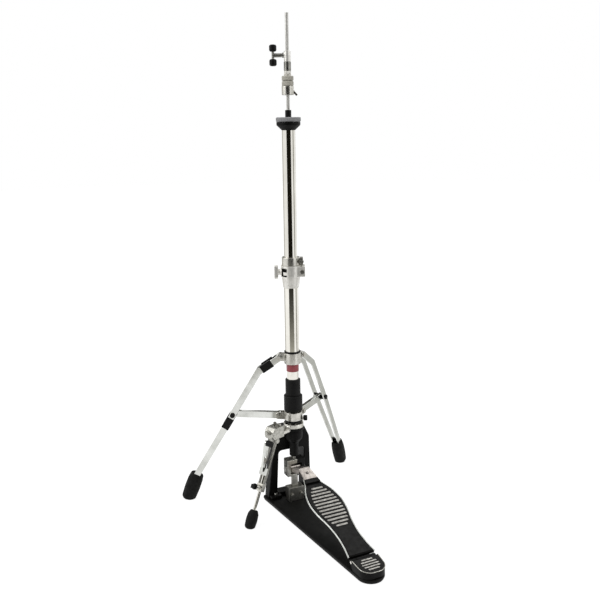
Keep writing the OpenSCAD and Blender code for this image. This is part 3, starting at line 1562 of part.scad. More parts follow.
// Rubber foot of the spur with a flat at the floor
module spur_foot() {
    len = spur_foot_len + boot_sink;
    bore_r = spur_rod_r + press_fit;
    half = spur_foot_len / 2;
    profile = concat(
        [[0, half], [bore_r, half], [bore_r, 0]],
        boot(spur_foot_top_r, spur_foot_big_r, len),
        [[0, len]]
    );
    color(rubber) difference() {
        on_spur() translate([spur_len - spur_foot_len, 0, 0]) rotate([0, 90, 0]) rotate_extrude()
            polygon(profile);
        translate([-cut_size / 2, -cut_size / 2, -cut_size]) cube([cut_size, cut_size, cut_size]);
    }
}

floor_mat();
base_plate();
pedal_frame();
key_bolts();
guide_foot();
heel_plate();
heel_ribs();
hinge_pin();
frame_yoke();
column();
return_spring();
red_band();
lower_tube();
clamp_body();
clamp_bush();
spur_clamp();
memory_lock();
lock_screw();
clamp_wing_screw();
upper_tube();
seat_bush();
seat_cup();
seat_felt();
pull_rods();
rod_coupler();
spring_flange();
pull_block();
pull_pin();
clutch_body();
clutch_nuts();
clutch_felts();
clutch_bottom_nut();
clutch_wing_screw();
clutch_wing_tips();
tension_sleeve();
tripod_hub();
brace_pins();
hub_screw();
tripod_collar();
collar_ring();
collar_pins();
left_leg_bars();
left_leg_bush();
left_leg_sleeves();
left_foot();
right_leg_bars();
right_leg_bush();
right_foot();
left_brace();
right_brace();
footboard();
footboard_pad();
footboard_ribs();
toe_bracket();
spur_bars();
spur_boss();
spur_screws();
spur_stay();
spur_rod();
spur_foot();
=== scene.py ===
"""Looks of a hi-hat stand: finishes, rounded edges, felts, spring coil, trims and a studio."""

import json
import logging
import math
from collections.abc import Sequence
from dataclasses import dataclass
from enum import Enum
from typing import Any

import bmesh
import bpy
from bmesh.types import BMesh
from bpy.types import ID, Material, Mesh, Node, NodeSocket, NodeTree, Object, World
from mathutils import Matrix, Vector, noise

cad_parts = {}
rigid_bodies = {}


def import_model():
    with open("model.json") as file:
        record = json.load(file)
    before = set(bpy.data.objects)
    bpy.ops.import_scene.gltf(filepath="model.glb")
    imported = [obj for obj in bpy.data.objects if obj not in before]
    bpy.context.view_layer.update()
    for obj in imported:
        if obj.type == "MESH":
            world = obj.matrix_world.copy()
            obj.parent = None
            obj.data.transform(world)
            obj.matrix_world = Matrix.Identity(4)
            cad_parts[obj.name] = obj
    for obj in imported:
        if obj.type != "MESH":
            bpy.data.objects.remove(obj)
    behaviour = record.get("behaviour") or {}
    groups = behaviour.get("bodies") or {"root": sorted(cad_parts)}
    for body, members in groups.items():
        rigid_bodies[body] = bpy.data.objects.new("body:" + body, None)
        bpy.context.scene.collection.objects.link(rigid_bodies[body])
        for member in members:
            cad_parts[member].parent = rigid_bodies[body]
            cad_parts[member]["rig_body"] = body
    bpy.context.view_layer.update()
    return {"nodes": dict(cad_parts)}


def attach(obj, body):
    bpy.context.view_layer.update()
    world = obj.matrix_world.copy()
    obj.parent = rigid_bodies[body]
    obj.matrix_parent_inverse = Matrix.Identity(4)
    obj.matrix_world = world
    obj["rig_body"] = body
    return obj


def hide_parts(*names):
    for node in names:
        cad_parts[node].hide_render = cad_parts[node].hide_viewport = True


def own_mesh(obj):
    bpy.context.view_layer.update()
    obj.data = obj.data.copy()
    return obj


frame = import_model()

# One millimetre in metres: the stand's sizes are in mm, the studio's in metres
MM = 0.001
UP = Vector((0.0, 0.0, 1.0))
# Shift of the fine relief's noise along X, in metres
PATTERN_SEED = 7.0
# Share of the finer octaves in every noise
NOISE_ROUGHNESS = 0.6
# Octaves of the patches' noise, and the part of it that colour and gloss follow
PATCH_DETAIL = 4.0
PATCH_RANGE = (0.3, 0.7)
# Places of a colour mix node's sockets, because their names aren't unique
MIX_FACTOR = 0
MIX_FIRST = 6
MIX_SECOND = 7
MIX_RESULT = 2
# Corners nearer to each other than this are one
SLIVER = 0.02 * MM
# Faces that turn less than this from one to the next are one
FLAT_ANGLE = math.radians(1.0)
# Edges that turn more than this are rounded, and shaded as edges
SHARP_ANGLE = math.radians(35.0)
# Sides of round wire and beads
WIRE_SIDES = 10
log = logging.getLogger("hi_hat")

# A point of a flat drawing
Point = tuple[float, float]


def linear(code: str) -> tuple[float, float, float, float]:
    """Turn an sRGB hex colour into the linear colour that a shader takes.

    Args:
        code: Colour such as "#A1B2C3".

    Returns:
        Linear red, green and blue, and an alpha of 1.
    """
    shares = [int(code[start:start + 2], 16) / 255 for start in (1, 3, 5)]
    red, green, blue = (s / 12.92 if s <= 0.04045 else ((s + 0.055) / 1.055) ** 2.4 for s in shares)
    return red, green, blue, 1.0


def add_node(
    tree: NodeTree, kind: str, inputs: dict[str | int, Any] | None = None, **settings: Any
) -> Node:
    """Add one node to a tree with its links and settings.

    Args:
        tree: Shader or geometry tree.
        kind: Blender's name of the node's type.
        inputs: Values or output sockets for its inputs, by name or place.
        settings: Values for the node's own properties.

    Returns:
        The new node.
    """
    node = tree.nodes.new(kind)
    for name, value in settings.items():
        setattr(node, name, value)
    for name, value in (inputs or {}).items():
        if isinstance(value, NodeSocket):
            tree.links.new(value, node.inputs[name])
        else:
            node.inputs[name].default_value = value
    return node


def blank_tree(owner: Material | World) -> NodeTree:
    """Give a material or the world an empty node tree.

    Args:
        owner: The material or the world.

    Returns:
        Its tree.
    """
    owner.use_nodes = True
    owner.node_tree.nodes.clear()
    return owner.node_tree


@dataclass(frozen=True)
class Grain:
    """How a surface's fine relief runs.

    Attributes:
        stretch: Share of the grain's pitch along X, Y and Z; a small share draws it out into lines.
        detail: Octaves of finer relief on top of the grain.
        distortion: How far the grain curls.
    """

    stretch: tuple[float, float, float]
    detail: float
    distortion: float


class Relief(Enum):
    """The kinds of fine relief on this stand."""

    POLISHED = Grain(stretch=(1.0, 1.0, 0.4), detail=1.0, distortion=0.0)
    BRUSHED = Grain(stretch=(1.0, 1.0, 0.04), detail=2.0, distortion=0.0)
    CAST = Grain(stretch=(1.0, 1.0, 1.0), detail=3.0, distortion=0.4)
    SPRAYED = Grain(stretch=(1.0, 1.0, 1.0), detail=2.0, distortion=0.2)
    MOULDED = Grain(stretch=(1.0, 1.0, 1.0), detail=1.0, distortion=0.0)
    FIBROUS = Grain(stretch=(1.0, 1.0, 0.35), detail=6.0, distortion=2.6)


@dataclass(frozen=True)
class Finish:
    """One surface finish, from the real material to its shader.

    Attributes:
        name: The real material and how its surface was made.
        light: Colour of its paler patches.
        dark: Colour of its deeper patches.
        relief: Kind of fine relief.
        grain_mm: Pitch of that relief.
        depth_mm: Height of that relief.
        mottle_mm: Size of the patches of colour and gloss.
        rough: Lowest and highest roughness.
        metallic: 1 for bare or plated metal.
        specular: Strength of the reflection off paint, plastic or rubber.
        coat: Share of clear lacquer on top.
        sheen: Soft glow of loose fibres.
    """

    name: str
    light: str
    dark: str
    relief: Relief
    grain_mm: float
    depth_mm: float
    mottle_mm: float
    rough: tuple[float, float]
    metallic: float = 0.0
    specular: float = 0.5
    coat: float = 0.0
    sheen: float = 0.0

    def make(self) -> Material:
        """Build the material once and give it back each time.

        Returns:
            The material of this name.
        """
        known = bpy.data.materials.get(self.name)
        if known:
            return known
        material = bpy.data.materials.new(self.name)
        material.diffuse_color = linear(self.light)
        tree = blank_tree(material)
        place = add_node(tree, "ShaderNodeTexCoord").outputs["Object"]
        patches = self.patches(tree, place)
        colour = add_node(tree, "ShaderNodeMix", {
            MIX_FACTOR: patches, MIX_FIRST: linear(self.dark), MIX_SECOND: linear(self.light),
        }, data_type="RGBA")
        gloss = add_node(tree, "ShaderNodeMapRange", {
            "Value": patches, "To Min": self.rough[1], "To Max": self.rough[0],
        })
        bump = add_node(tree, "ShaderNodeBump", {
            "Strength": 1.0, "Distance": self.depth_mm * MM, "Height": self.relief_height(tree, place),
        })
        shader = add_node(tree, "ShaderNodeBsdfPrincipled", {
            "Base Color": colour.outputs[MIX_RESULT],
            "Roughness": gloss.outputs["Result"],
            "Normal": bump.outputs["Normal"],
            "Metallic": self.metallic,
            "Specular IOR Level": self.specular,
            "Coat Weight": self.coat,
            "Sheen Weight": self.sheen,
        })
        add_node(tree, "ShaderNodeOutputMaterial", {"Surface": shader.outputs["BSDF"]})
        return material

    def patches(self, tree: NodeTree, place: NodeSocket) -> NodeSocket:
        """Draw the slow change of colour and gloss over the surface.

        Args:
            tree: The material's nodes.
            place: Object coordinates.

        Returns:
            A factor from 0 to 1.
        """
        cloud = add_node(tree, "ShaderNodeTexNoise", {
            "Vector": place, "Scale": 1 / (self.mottle_mm * MM),
            "Detail": PATCH_DETAIL, "Roughness": NOISE_ROUGHNESS,
        })
        spread = add_node(tree, "ShaderNodeMapRange", {
            "Value": cloud.outputs["Fac"], "From Min": PATCH_RANGE[0], "From Max": PATCH_RANGE[1],
        })
        return spread.outputs["Result"]

    def relief_height(self, tree: NodeTree, place: NodeSocket) -> NodeSocket:
        """Draw the fine relief of the surface.

        Args:
            tree: The material's nodes.
            place: Object coordinates.

        Returns:
            A height from 0 to 1.
        """
        grain = self.relief.value
        drawn = add_node(tree, "ShaderNodeMapping", {
            "Vector": place, "Location": (PATTERN_SEED, 0.0, 0.0), "Scale": grain.stretch,
        })
        field = add_node(tree, "ShaderNodeTexNoise", {
            "Vector": drawn.outputs["Vector"], "Scale": 1 / (self.grain_mm * MM),
            "Detail": grain.detail, "Roughness": NOISE_ROUGHNESS, "Distortion": grain.distortion,
        })
        return field.outputs["Fac"]


# Polished plate over steel tube: a mirror with faint handling smudges and hardly any waves
CHROME_TUBE = Finish(
    "chrome_plated_tube", "#EAE8E1", "#DAD7CF", Relief.POLISHED,
    grain_mm=9.0, depth_mm=0.004, mottle_mm=55.0, rough=(0.07, 0.12), metallic=1.0)
# Plate over rolled flat bar: softer reflections and fine lines along its length
CHROME_BAR = Finish(
    "chrome_plated_bar", "#D9DAD6", "#C0C1BC", Relief.BRUSHED,
    grain_mm=0.5, depth_mm=0.003, mottle_mm=30.0, rough=(0.12, 0.24), metallic=1.0)
# Plate over a zinc casting: bright, with the casting's gentle unevenness
CHROME_CASTING = Finish(
    "chrome_plated_casting", "#D8D6CF", "#B9B7B0", Relief.CAST,
    grain_mm=4.0, depth_mm=0.02, mottle_mm=14.0, rough=(0.24, 0.38), metallic=1.0)
# Satin plate over a sandblasted casting: pale and soft, with hardly a reflection
SATIN_CASTING = Finish(
    "satin_plated_casting", "#F6F4EE", "#E2E0D9", Relief.CAST,
    grain_mm=2.5, depth_mm=0.02, mottle_mm=9.0, rough=(0.3, 0.42), metallic=0.45, specular=0.6)
# Ground steel rod: a dull and even grey, with fine lines along its length
GROUND_STEEL = Finish(
    "ground_steel_rod", "#CCCBC7", "#B9B8B4", Relief.BRUSHED,
    grain_mm=0.8, depth_mm=0.001, mottle_mm=20.0, rough=(0.52, 0.62), metallic=1.0)
# Zinc-plated steel: grey, half matt, with a crystal-like mottle
ZINC_STEEL = Finish(
    "zinc_plated_steel", "#BDBCB5", "#96958E", Relief.CAST,
    grain_mm=0.8, depth_mm=0.012, mottle_mm=5.0, rough=(0.24, 0.42), metallic=1.0)
# Oiled steel: a darker grey than zinc, half matt
OILED_STEEL = Finish(
    "oiled_machined_steel", "#9C9B95", "#76756F", Relief.CAST,
    grain_mm=0.8, depth_mm=0.012, mottle_mm=5.0, rough=(0.28, 0.46), metallic=1.0)
# Oiled spring wire: dark and drawn out along its length
SPRING_WIRE = Finish(
    "oiled_spring_wire", "#8A8780", "#5C5A54", Relief.BRUSHED,
    grain_mm=0.3, depth_mm=0.004, mottle_mm=4.0, rough=(0.25, 0.4), metallic=1.0)
# Polished aluminium casting: warm and light, with small pores and softened edges
ALUMINIUM = Finish(
    "polished_aluminium_casting", "#BDB7B1", "#A09993", Relief.CAST,
    grain_mm=0.9, depth_mm=0.015, mottle_mm=6.0, rough=(0.28, 0.44), metallic=1.0)
# Bare aluminium worn by shoes: greyer, with a dull bloom
WORN_ALUMINIUM = Finish(
    "worn_bare_aluminium", "#A3A19C", "#7E7C78", Relief.CAST,
    grain_mm=0.7, depth_mm=0.02, mottle_mm=5.0, rough=(0.34, 0.5), metallic=1.0)
# Milled edge of an aluminium plate: bright and neutral
MILLED_ALUMINIUM = Finish(
    "milled_aluminium_edge", "#CACCC8", "#AFB1AD", Relief.BRUSHED,
    grain_mm=0.5, depth_mm=0.006, mottle_mm=8.0, rough=(0.26, 0.4), metallic=1.0)
# Powder coat on steel: deep black with the fine orange peel of a sprayed and baked coat
POWDER_COAT = Finish(
    "black_powder_coat", "#0F0F0E", "#080807", Relief.SPRAYED,
    grain_mm=1.1, depth_mm=0.03, mottle_mm=22.0, rough=(0.42, 0.58), specular=0.11)
# Moulded ABS: black, with the fine spark texture of its mould
ABS = Finish(
    "moulded_black_abs", "#121211", "#0B0B0A", Relief.MOULDED,
    grain_mm=0.5, depth_mm=0.02, mottle_mm=9.0, rough=(0.4, 0.55), specular=0.15)
# Moulded rubber: matt, slightly dusty, with a soft grain
RUBBER = Finish(
    "moulded_black_rubber", "#191918", "#0E0E0D", Relief.MOULDED,
    grain_mm=0.9, depth_mm=0.05, mottle_mm=7.0, rough=(0.62, 0.82), specular=0.16)
# Grippy tread: the same rubber with a coarse pebble, drawn as wide as it needs to show
TREAD = Finish(
    "pebbled_rubber_tread", "#151514", "#0A0A09", Relief.MOULDED,
    grain_mm=1.6, depth_mm=0.18, mottle_mm=10.0, rough=(0.55, 0.72), specular=0.18)
# Gloss enamel: an even crimson under a clear lacquer
RED_ENAMEL = Finish(
    "crimson_enamel", "#AB3842", "#8E2A34", Relief.SPRAYED,
    grain_mm=2.0, depth_mm=0.01, mottle_mm=8.0, rough=(0.2, 0.32), specular=0.4, coat=0.5)
# Pressed wool felt: matt tangled fibres with paler flecks
FELT = Finish(
    "pressed_wool_felt", "#D2CFC3", "#A8A59A", Relief.FIBROUS,
    grain_mm=0.9, depth_mm=0.35, mottle_mm=1.6, rough=(0.86, 0.98), specular=0.1, sheen=0.25)
# The same felt, dyed grey
GREY_FELT = Finish(
    "grey_wool_felt", "#AEAEAF", "#7F7F80", Relief.FIBROUS,
    grain_mm=0.9, depth_mm=0.35, mottle_mm=1.8, rough=(0.86, 0.98), specular=0.1, sheen=0.25)


def mesh_from(shape: BMesh, name: str, *materials: Material) -> Mesh:
    """Turn a shape into a mesh and let go of the shape.

    Args:
        shape: The shape, in metres.
        name: The mesh's name.
        materials: Its materials, in the order that the faces count them.

    Returns:
        The mesh.
    """
    mesh = bpy.data.meshes.new(name)
    for material in materials:
        mesh.materials.append(material)
    shape.to_mesh(mesh)
    shape.free()
    return mesh


def put(name: str, data: ID) -> Object:
    """Put a mesh, a lamp or a camera into the scene, at the origin.

    Args:
        name: The object's name.
        data: What it shows: a mesh is in metres, in the CAD frame.

    Returns:
        The new object.
    """
    thing = bpy.data.objects.new(name, data)
    bpy.context.scene.collection.objects.link(thing)
    log.info("%s put into the scene", name)
    return thing


def settle(piece: Object) -> None:
    """Turn what a piece's modifiers make into its plain mesh.

    Args:
        piece: The piece, which keeps no modifier.
    """
    made = piece.evaluated_get(bpy.context.evaluated_depsgraph_get())
    piece.data = bpy.data.meshes.new_from_object(made)
    piece.data.name = piece.name
    piece.modifiers.clear()


def dress(finish: Finish, *nodes: str) -> None:
    """Give CAD nodes a finish.

    Args:
        finish: The finish they take.
        nodes: Names of the CAD nodes.
    """
    material = finish.make()
    for node in nodes:
        for slot in frame["nodes"][node].material_slots:
            slot.material = material
        log.info("%s dressed in %s", node, finish.name)


@dataclass(frozen=True)
class Tone:
    """A second finish on the part of a piece that lies beyond a flat cut.

    Attributes:
        finish: The second finish.
        point: A point of the cut, in mm.
        way: Direction from the cut towards the second finish.
        reach: Distance from the rod's axis at which the second finish ends.
        low: Height at which it starts.
    """

    finish: Finish
    point: tuple[float, float, float]
    way: tuple[float, float, float]
    reach: float = 60.0
    low: float = 0.0

    def mark(self, shape: BMesh) -> None:
        """Cut the faces of a shape and mark those that take the second finish.

        Args:
            shape: The shape, in metres.
        """
        point = Vector(self.point) * MM
        way = Vector(self.way)
        bmesh.ops.bisect_plane(shape, geom=[*shape.verts, *shape.edges, *shape.faces],
                               dist=SLIVER, plane_co=point, plane_no=way)
        for face in shape.faces:
            middle = face.calc_center_median()
            beyond = (middle - point).dot(way) > 0.0
            face.material_index = int(
                beyond and middle.xy.length < self.reach * MM and middle.z > self.low * MM)


@dataclass(frozen=True)
class Recess:
    """A recess in the side of a round casting, black inside as painted shade, which leaves a tongue standing
    at its right.

    Attributes:
        finish: Finish inside the recess, a black one as painted shade.
        turn: Direction that it faces, in degrees from the X axis.
        half_w: Half its width.
        low: Height of its foot.
        high: Height of its top.
        tongue_start: Place of the tongue's end, from the middle of the recess towards its right.
        tongue_low: Height of the tongue's foot.
        tongue_high: Height of its top.
        depth: Depth of the recess.
        slant: How far its walls lean in.
    """

    finish: Finish
    turn: float
    half_w: float
    low: float
    high: float
    tongue_start: float
    tongue_low: float
    tongue_high: float
    depth: float = 3.5
    slant: float = 0.3

    def mark(self, shape: BMesh) -> None:
        """Sink the recess into a shape and mark its faces for the second finish, the painted shade.

        Args:
            shape: The shape, in metres.
        """
        angle = math.radians(self.turn)
        out = Vector((math.cos(angle), math.sin(angle), 0.0))
        right = Vector((-out.y, out.x, 0.0))
        cuts = [(right, at) for at in (-self.half_w, self.tongue_start, self.half_w)]
        cuts += [(UP, at) for at in (self.low, self.tongue_low, self.tongue_high, self.high)]
        for way, at in cuts:
            facing = [face for face in shape.faces if face.normal.dot(out) > 0.0]
            near = {part for face in facing for part in (*face.verts, *face.edges)}
            bmesh.ops.bisect_plane(shape, geom=[*near, *facing], dist=SLIVER,
                                   plane_co=way * at * MM, plane_no=way)
        sunk = []
        for face in shape.faces:
            middle = face.calc_center_median() / MM
            across = middle.dot(right)
            inside = middle.dot(out) > 0.0 and abs(across) < self.half_w and self.low < middle.z < self.high
            tongue = across > self.tongue_start and self.tongue_low < middle.z < self.tongue_high
            if inside and not tongue and face.normal.dot(out) > 0.0:
                sunk.append(face)
        walls = bmesh.ops.inset_region(shape, faces=sunk, thickness=self.slant * MM, depth=-self.depth * MM,
                                       use_even_offset=True)
        for face in (*sunk, *walls["faces"]):
            face.material_index = 1


def ease(finish: Finish, *nodes: str, radius_mm: float, tone: Tone | Recess | None = None) -> None:
    """Stand copies with rounded outer edges in for CAD nodes.

    Args:
        finish: The finish they take.
        nodes: Names of the CAD nodes.
        radius_mm: Radius of their edges.
        tone: The second finish on a part of them, or a recess, where they have one.
    """
    for node in nodes:
        source = frame["nodes"][node]
        shape = bmesh.new()
        shape.from_mesh(source.data)
        bmesh.ops.remove_doubles(shape, verts=shape.verts, dist=SLIVER)
        bmesh.ops.dissolve_limit(shape, angle_limit=FLAT_ANGLE, verts=shape.verts, edges=shape.edges)
        outer = [edge for edge in shape.edges if edge.calc_face_angle_signed(0.0) > SHARP_ANGLE]
        bmesh.ops.bevel(shape, geom=outer, offset=radius_mm * MM, offset_type="OFFSET", affect="EDGES",
                        segments=2, profile=0.5, clamp_overlap=False)
        bmesh.ops.remove_doubles(shape, verts=shape.verts, dist=SLIVER)
        bmesh.ops.dissolve_degenerate(shape, edges=shape.edges, dist=SLIVER)
        finishes = [finish]
        if tone:
            tone.mark(shape)
            finishes.append(tone.finish)
        mesh = mesh_from(shape, node + "_eased", *(each.make() for each in finishes))
        mesh.shade_smooth()
        mesh.set_sharp_from_angle(angle=SHARP_ANGLE)
        piece = put(mesh.name, mesh)
        flats = piece.modifiers.new("flats_stay_flat", "WEIGHTED_NORMAL")
        flats.keep_sharp = True
        settle(piece)
        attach(piece, source["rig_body"])
        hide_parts(node)


@dataclass
class NodeTool:
    """A Geometry Nodes tree with named sizes, run once and baked to a plain mesh.

    Attributes:
        name: The tree's name.
        sizes: Its named inputs, in metres or as counts.
    """

    name: str
    sizes: dict[str, float]

    def __post_init__(self) -> None:
        """Make the tree, its geometry sockets and one input socket for each size."""
        self.tree = bpy.data.node_groups.new(self.name, "GeometryNodeTree")
        interface = self.tree.interface
        interface.new_socket("Geometry", in_out="INPUT", socket_type="NodeSocketGeometry")
        self.sockets = {}
        for size, value in self.sizes.items():
            kind = "NodeSocketInt" if isinstance(value, int) else "NodeSocketFloat"
            self.sockets[size] = interface.new_socket(size, in_out="INPUT", socket_type=kind)
        interface.new_socket("Geometry", in_out="OUTPUT", socket_type="NodeSocketGeometry")
        self.given = self.tree.nodes.new("NodeGroupInput").outputs

    def tube(self, curve: NodeSocket) -> NodeSocket:
        """Lay a round tube along a curve, by the sizes Radius and Sides.

        Args:
            curve: The curve.

        Returns:
            The tube, closed at both ends.
        """
        ring = add_node(self.tree, "GeometryNodeCurvePrimitiveCircle", {
            "Radius": self.given["Radius"], "Resolution": self.given["Sides"],
        })
        swept = add_node(self.tree, "GeometryNodeCurveToMesh", {
            "Curve": curve, "Profile Curve": ring.outputs["Curve"], "Fill Caps": True,
        })
        return swept.outputs["Mesh"]

    def lift(self, shape: NodeSocket) -> NodeSocket:
        """Raise geometry by the size Lift.

        Args:
            shape: The geometry.

        Returns:
            The raised geometry.
        """
        shift = add_node(self.tree, "ShaderNodeCombineXYZ", {"Z": self.given["Lift"]})
        raised = add_node(self.tree, "GeometryNodeTransform", {
            "Geometry": shape, "Translation": shift.outputs["Vector"],
        })
        return raised.outputs["Geometry"]

    def end(self, shape: NodeSocket, finish: Finish) -> None:
        """Close the tree: real geometry, smooth, in its finish.

        Args:
            shape: The geometry made so far.
            finish: The finish it takes.
        """
        real = add_node(self.tree, "GeometryNodeRealizeInstances", {"Geometry": shape})
        shaded = add_node(self.tree, "GeometryNodeSetShadeSmooth", {
            "Geometry": real.outputs["Geometry"],
        })
        painted = add_node(self.tree, "GeometryNodeSetMaterial", {
            "Geometry": shaded.outputs["Geometry"], "Material": finish.make(),
        })
        add_node(self.tree, "NodeGroupOutput", {"Geometry": painted.outputs["Geometry"]})

    def bake(self, name: str, source: Mesh) -> Object:
        """Run the tree on a source mesh and keep the result as a plain mesh.

        Args:
            name: The piece's name.
            source: Mesh that the tree starts from; it may be empty.

        Returns:
            The finished piece, with no modifier left on it.
        """
        piece = put(name, source)
        run = piece.modifiers.new(self.name, "NODES")
        run.node_group = self.tree
        for size, value in self.sizes.items():
            run[self.sockets[size].identifier] = value
        settle(piece)
        return piece


def bead_along(
    name: str, paths: Sequence[Sequence[Vector]], radius: float, finish: Finish
) -> Object:
    """Lay a round bead along open paths.

    Args:
        name: The piece's name.
        paths: Points of each path, in metres.
        radius: The bead's radius in metres.
        finish: The bead's finish.

    Returns:
        The bead as a plain mesh.
    """
    corners: list[tuple[float, ...]] = []
    steps: list[tuple[int, int]] = []
    for path in paths:
        first = len(corners)
        corners.extend(tuple(point) for point in path)
        steps.extend((place, place + 1) for place in range(first, len(corners) - 1))
    line = bpy.data.meshes.new(name + "_path")
    line.from_pydata(corners, steps, [])
    tool = NodeTool("bead_along_path", {"Radius": radius, "Sides": WIRE_SIDES})
    curve = add_node(tool.tree, "GeometryNodeMeshToCurve", {"Mesh": tool.given["Geometry"]})
    tool.end(tool.tube(curve.outputs["Curve"]), finish)
    return tool.bake(name, line)


def smooth(points: Sequence[Point], steps: int) -> list[Point]:
    """Draw a smooth curve through points, as the footboard's side is drawn.

    Args:
        points: Points that the curve passes through.
        steps: Steps from each point to the next.

    Returns:
        The curve's points.
    """
    last = len(points) - 1
    curve: list[Point] = []
    for place in range(last):
        a, b, c, d = (Vector(points[min(max(place + shift, 0), last)]) for shift in (-1, 0, 1, 2))
        for step in range(steps):
            t = step / steps
            bend = (2 * a - 5 * b + 4 * c - d) * t ** 2
            spot = 2 * b + (c - a) * t + bend + (3 * b - a - 3 * c + d) * t ** 3
            curve.append(tuple(spot / 2))
    return [*curve, tuple(points[last])]


@dataclass(frozen=True)
class Felt:
    """Pressed felt rings round the rod, one over another.

    Attributes:
        finish: Their finish.
        hole_r: Radius of their holes.
        outer_r: Their radius.
        lows: Height of each ring's underside.
        height: Height of one ring.
        edge: Radius of their rounded edges.
        crown: How far their faces fall towards the edges.
        hollow: Depth of the uneven hollows in them.
        hollow_size: Size of those hollows.
        steps: Steps round the rod.
        arc_steps: Steps of a rounded edge.
        face_steps: Steps across a face.
    """

    finish: Finish
    hole_r: float
    outer_r: float
    lows: tuple[float, ...]
    height: float
    edge: float
    crown: float
    hollow: float
    hollow_size: float
    steps: int
    arc_steps: int = 6
    face_steps: int = 8

    def section(self, low: float) -> list[Point]:
        """Draw one ring's section: rounded edges, and faces that swell a little in the middle.

        Args:
            low: Height of the ring's underside.

        Returns:
            The closed section as radius and height.
        """
        inner = self.hole_r + self.edge
        outer = self.outer_r - self.edge
        foot = low + self.edge
        top = low + self.height - self.edge
        arcs: list[Point] = []
        for r, z, start in ((outer, foot, -90), (outer, top, 0), (inner, top, 90), (inner, foot, 180)):
            for step in range(self.arc_steps + 1):
                turn = math.radians(start + 90 * step / self.arc_steps)
                arcs.append((r + self.edge * math.cos(turn), z + self.edge * math.sin(turn)))
        filled: list[Point] = []
        for place, (r, z) in enumerate(arcs):
            filled.append((r, z))
            across = arcs[(place + 1) % len(arcs)][0] - r
            if abs(across) > 2 * self.edge:
                filled.extend((r + across * step / self.face_steps, z) for step in range(1, self.face_steps))
        middle = (self.hole_r + self.outer_r) / 2
        half = (self.outer_r - self.hole_r) / 2
        centre = low + self.height / 2
        fall = self.crown / self.height
        return [(r, centre + (z - centre) * (1 - fall * ((r - middle) / half) ** 2)) for r, z in filled]

    def press(self, name: str) -> Object:
        """Press the rings as one piece, with uneven hollows that always go inward.

        Args:
            name: The piece's name.

        Returns:
            The piece.
        """
        shape = bmesh.new()
        for low in self.lows:
            rows = []
            for step in range(self.steps):
                turn = 2 * math.pi * step / self.steps
                out = Vector((math.cos(turn), math.sin(turn), 0.0))
                spots = [out * r + UP * z for r, z in self.section(low)]
                rows.append([shape.verts.new(spot * MM) for spot in spots])
            for row, ahead in zip(rows, (*rows[1:], rows[0])):
                for place, corner in enumerate(row):
                    beside = (place + 1) % len(row)
                    shape.faces.new((corner, ahead[place], ahead[beside], row[beside]))
        bmesh.ops.recalc_face_normals(shape, faces=shape.faces)
        core_r = (self.hole_r + self.outer_r) / 2 * MM
        core_z = (self.lows[0] + self.lows[-1] + self.height) / 2 * MM
        for corner in shape.verts:
            share = 0.5 + 0.5 * noise.noise(corner.co / (self.hollow_size * MM))
            core = Vector((*(corner.co.xy.normalized() * core_r), core_z))
            corner.co += (core - corner.co).normalized() * self.hollow * MM * share
        mesh = mesh_from(shape, name, self.finish.make())
        mesh.shade_smooth()
        return put(name, mesh)


@dataclass
class Base:
    """Floor plate, pedal frame, heel plate and the spur's clamp.

    Attributes:
        heel_half_w: Half width of the heel plate at its front.
        heel_rear_share: Share of that width at its rear.
        heel_front_y: Where the heel plate starts, behind the hinge.
        heel_len: Its length.
        heel_top: Height of its front edge.
        heel_fall: Slope of its top, in degrees.
        heel_r: Radius of its rear corners.
        corner_steps: Steps round such a corner.
        bead_r: Radius of the bright line round its top edge.
        yoke_foot: The lower part of the yoke's ring, coated like the frame.
    """

    heel_half_w: float = 26.5
    heel_rear_share: float = 0.9
    heel_front_y: float = -289.5
    heel_len: float = 41.0
    heel_top: float = 27.0
    heel_fall: float = 7.0
    heel_r: float = 20.0
    corner_steps: int = 12
    bead_r: float = 0.7
    yoke_foot: Tone = Tone(POWDER_COAT, point=(0.0, 0.0, 171.0), way=(0.0, 0.0, -1.0), reach=20.8)

    def dress(self) -> None:
        """Finish what stands on the floor."""
        ease(RUBBER, "floor_mat", radius_mm=0.6)
        ease(POWDER_COAT, "base_plate", "heel_plate", radius_mm=1.2)
        ease(POWDER_COAT, "pedal_frame", radius_mm=1.8)
        ease(WORN_ALUMINIUM, "heel_ribs", radius_mm=0.35)
        ease(OILED_STEEL, "guide_foot", radius_mm=0.8)
        ease(ZINC_STEEL, "key_bolts", radius_mm=0.4)
        ease(CHROME_CASTING, "frame_yoke", radius_mm=0.8, tone=self.yoke_foot)
        ease(ZINC_STEEL, "spur_clamp", radius_mm=1.4)
        dress(CHROME_TUBE, "hinge_pin", "column")

    def heel_edge(self) -> list[Vector]:
        """Trace the top edge of the heel plate from one front corner round its rear to the other.

        Returns:
            The edge's points in metres.
        """
        rear_y = self.heel_front_y - self.heel_len
        rear_half = self.heel_half_w * self.heel_rear_share
        lean = math.atan2(self.heel_half_w - rear_half, self.heel_len)
        reach = self.heel_r * math.tan((math.pi / 2 - lean) / 2)
        middle = Vector((rear_half + reach * math.sin(lean), rear_y + reach * math.cos(lean)))
        middle += self.heel_r * Vector((-math.cos(lean), math.sin(lean)))
        half: list[Point] = [(self.heel_half_w, self.heel_front_y)]
        for step in range(self.corner_steps + 1):
            turn = -lean - (math.pi / 2 - lean) * step / self.corner_steps
            half.append((middle.x + self.heel_r * math.cos(turn), middle.y + self.heel_r * math.sin(turn)))
        outline = half + [(-x, y) for x, y in reversed(half)]
        fall = math.tan(math.radians(self.heel_fall))
        return [
            Vector((x, y, self.heel_top + (y - self.heel_front_y) * fall - self.bead_r / 2)) * MM
            for x, y in outline
        ]

    def build(self) -> None:
        """Make the bright line round the heel plate."""
        bead = bead_along("heel_edge_trim", [self.heel_edge()], self.bead_r * MM, ZINC_STEEL)
        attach(bead, "stand")


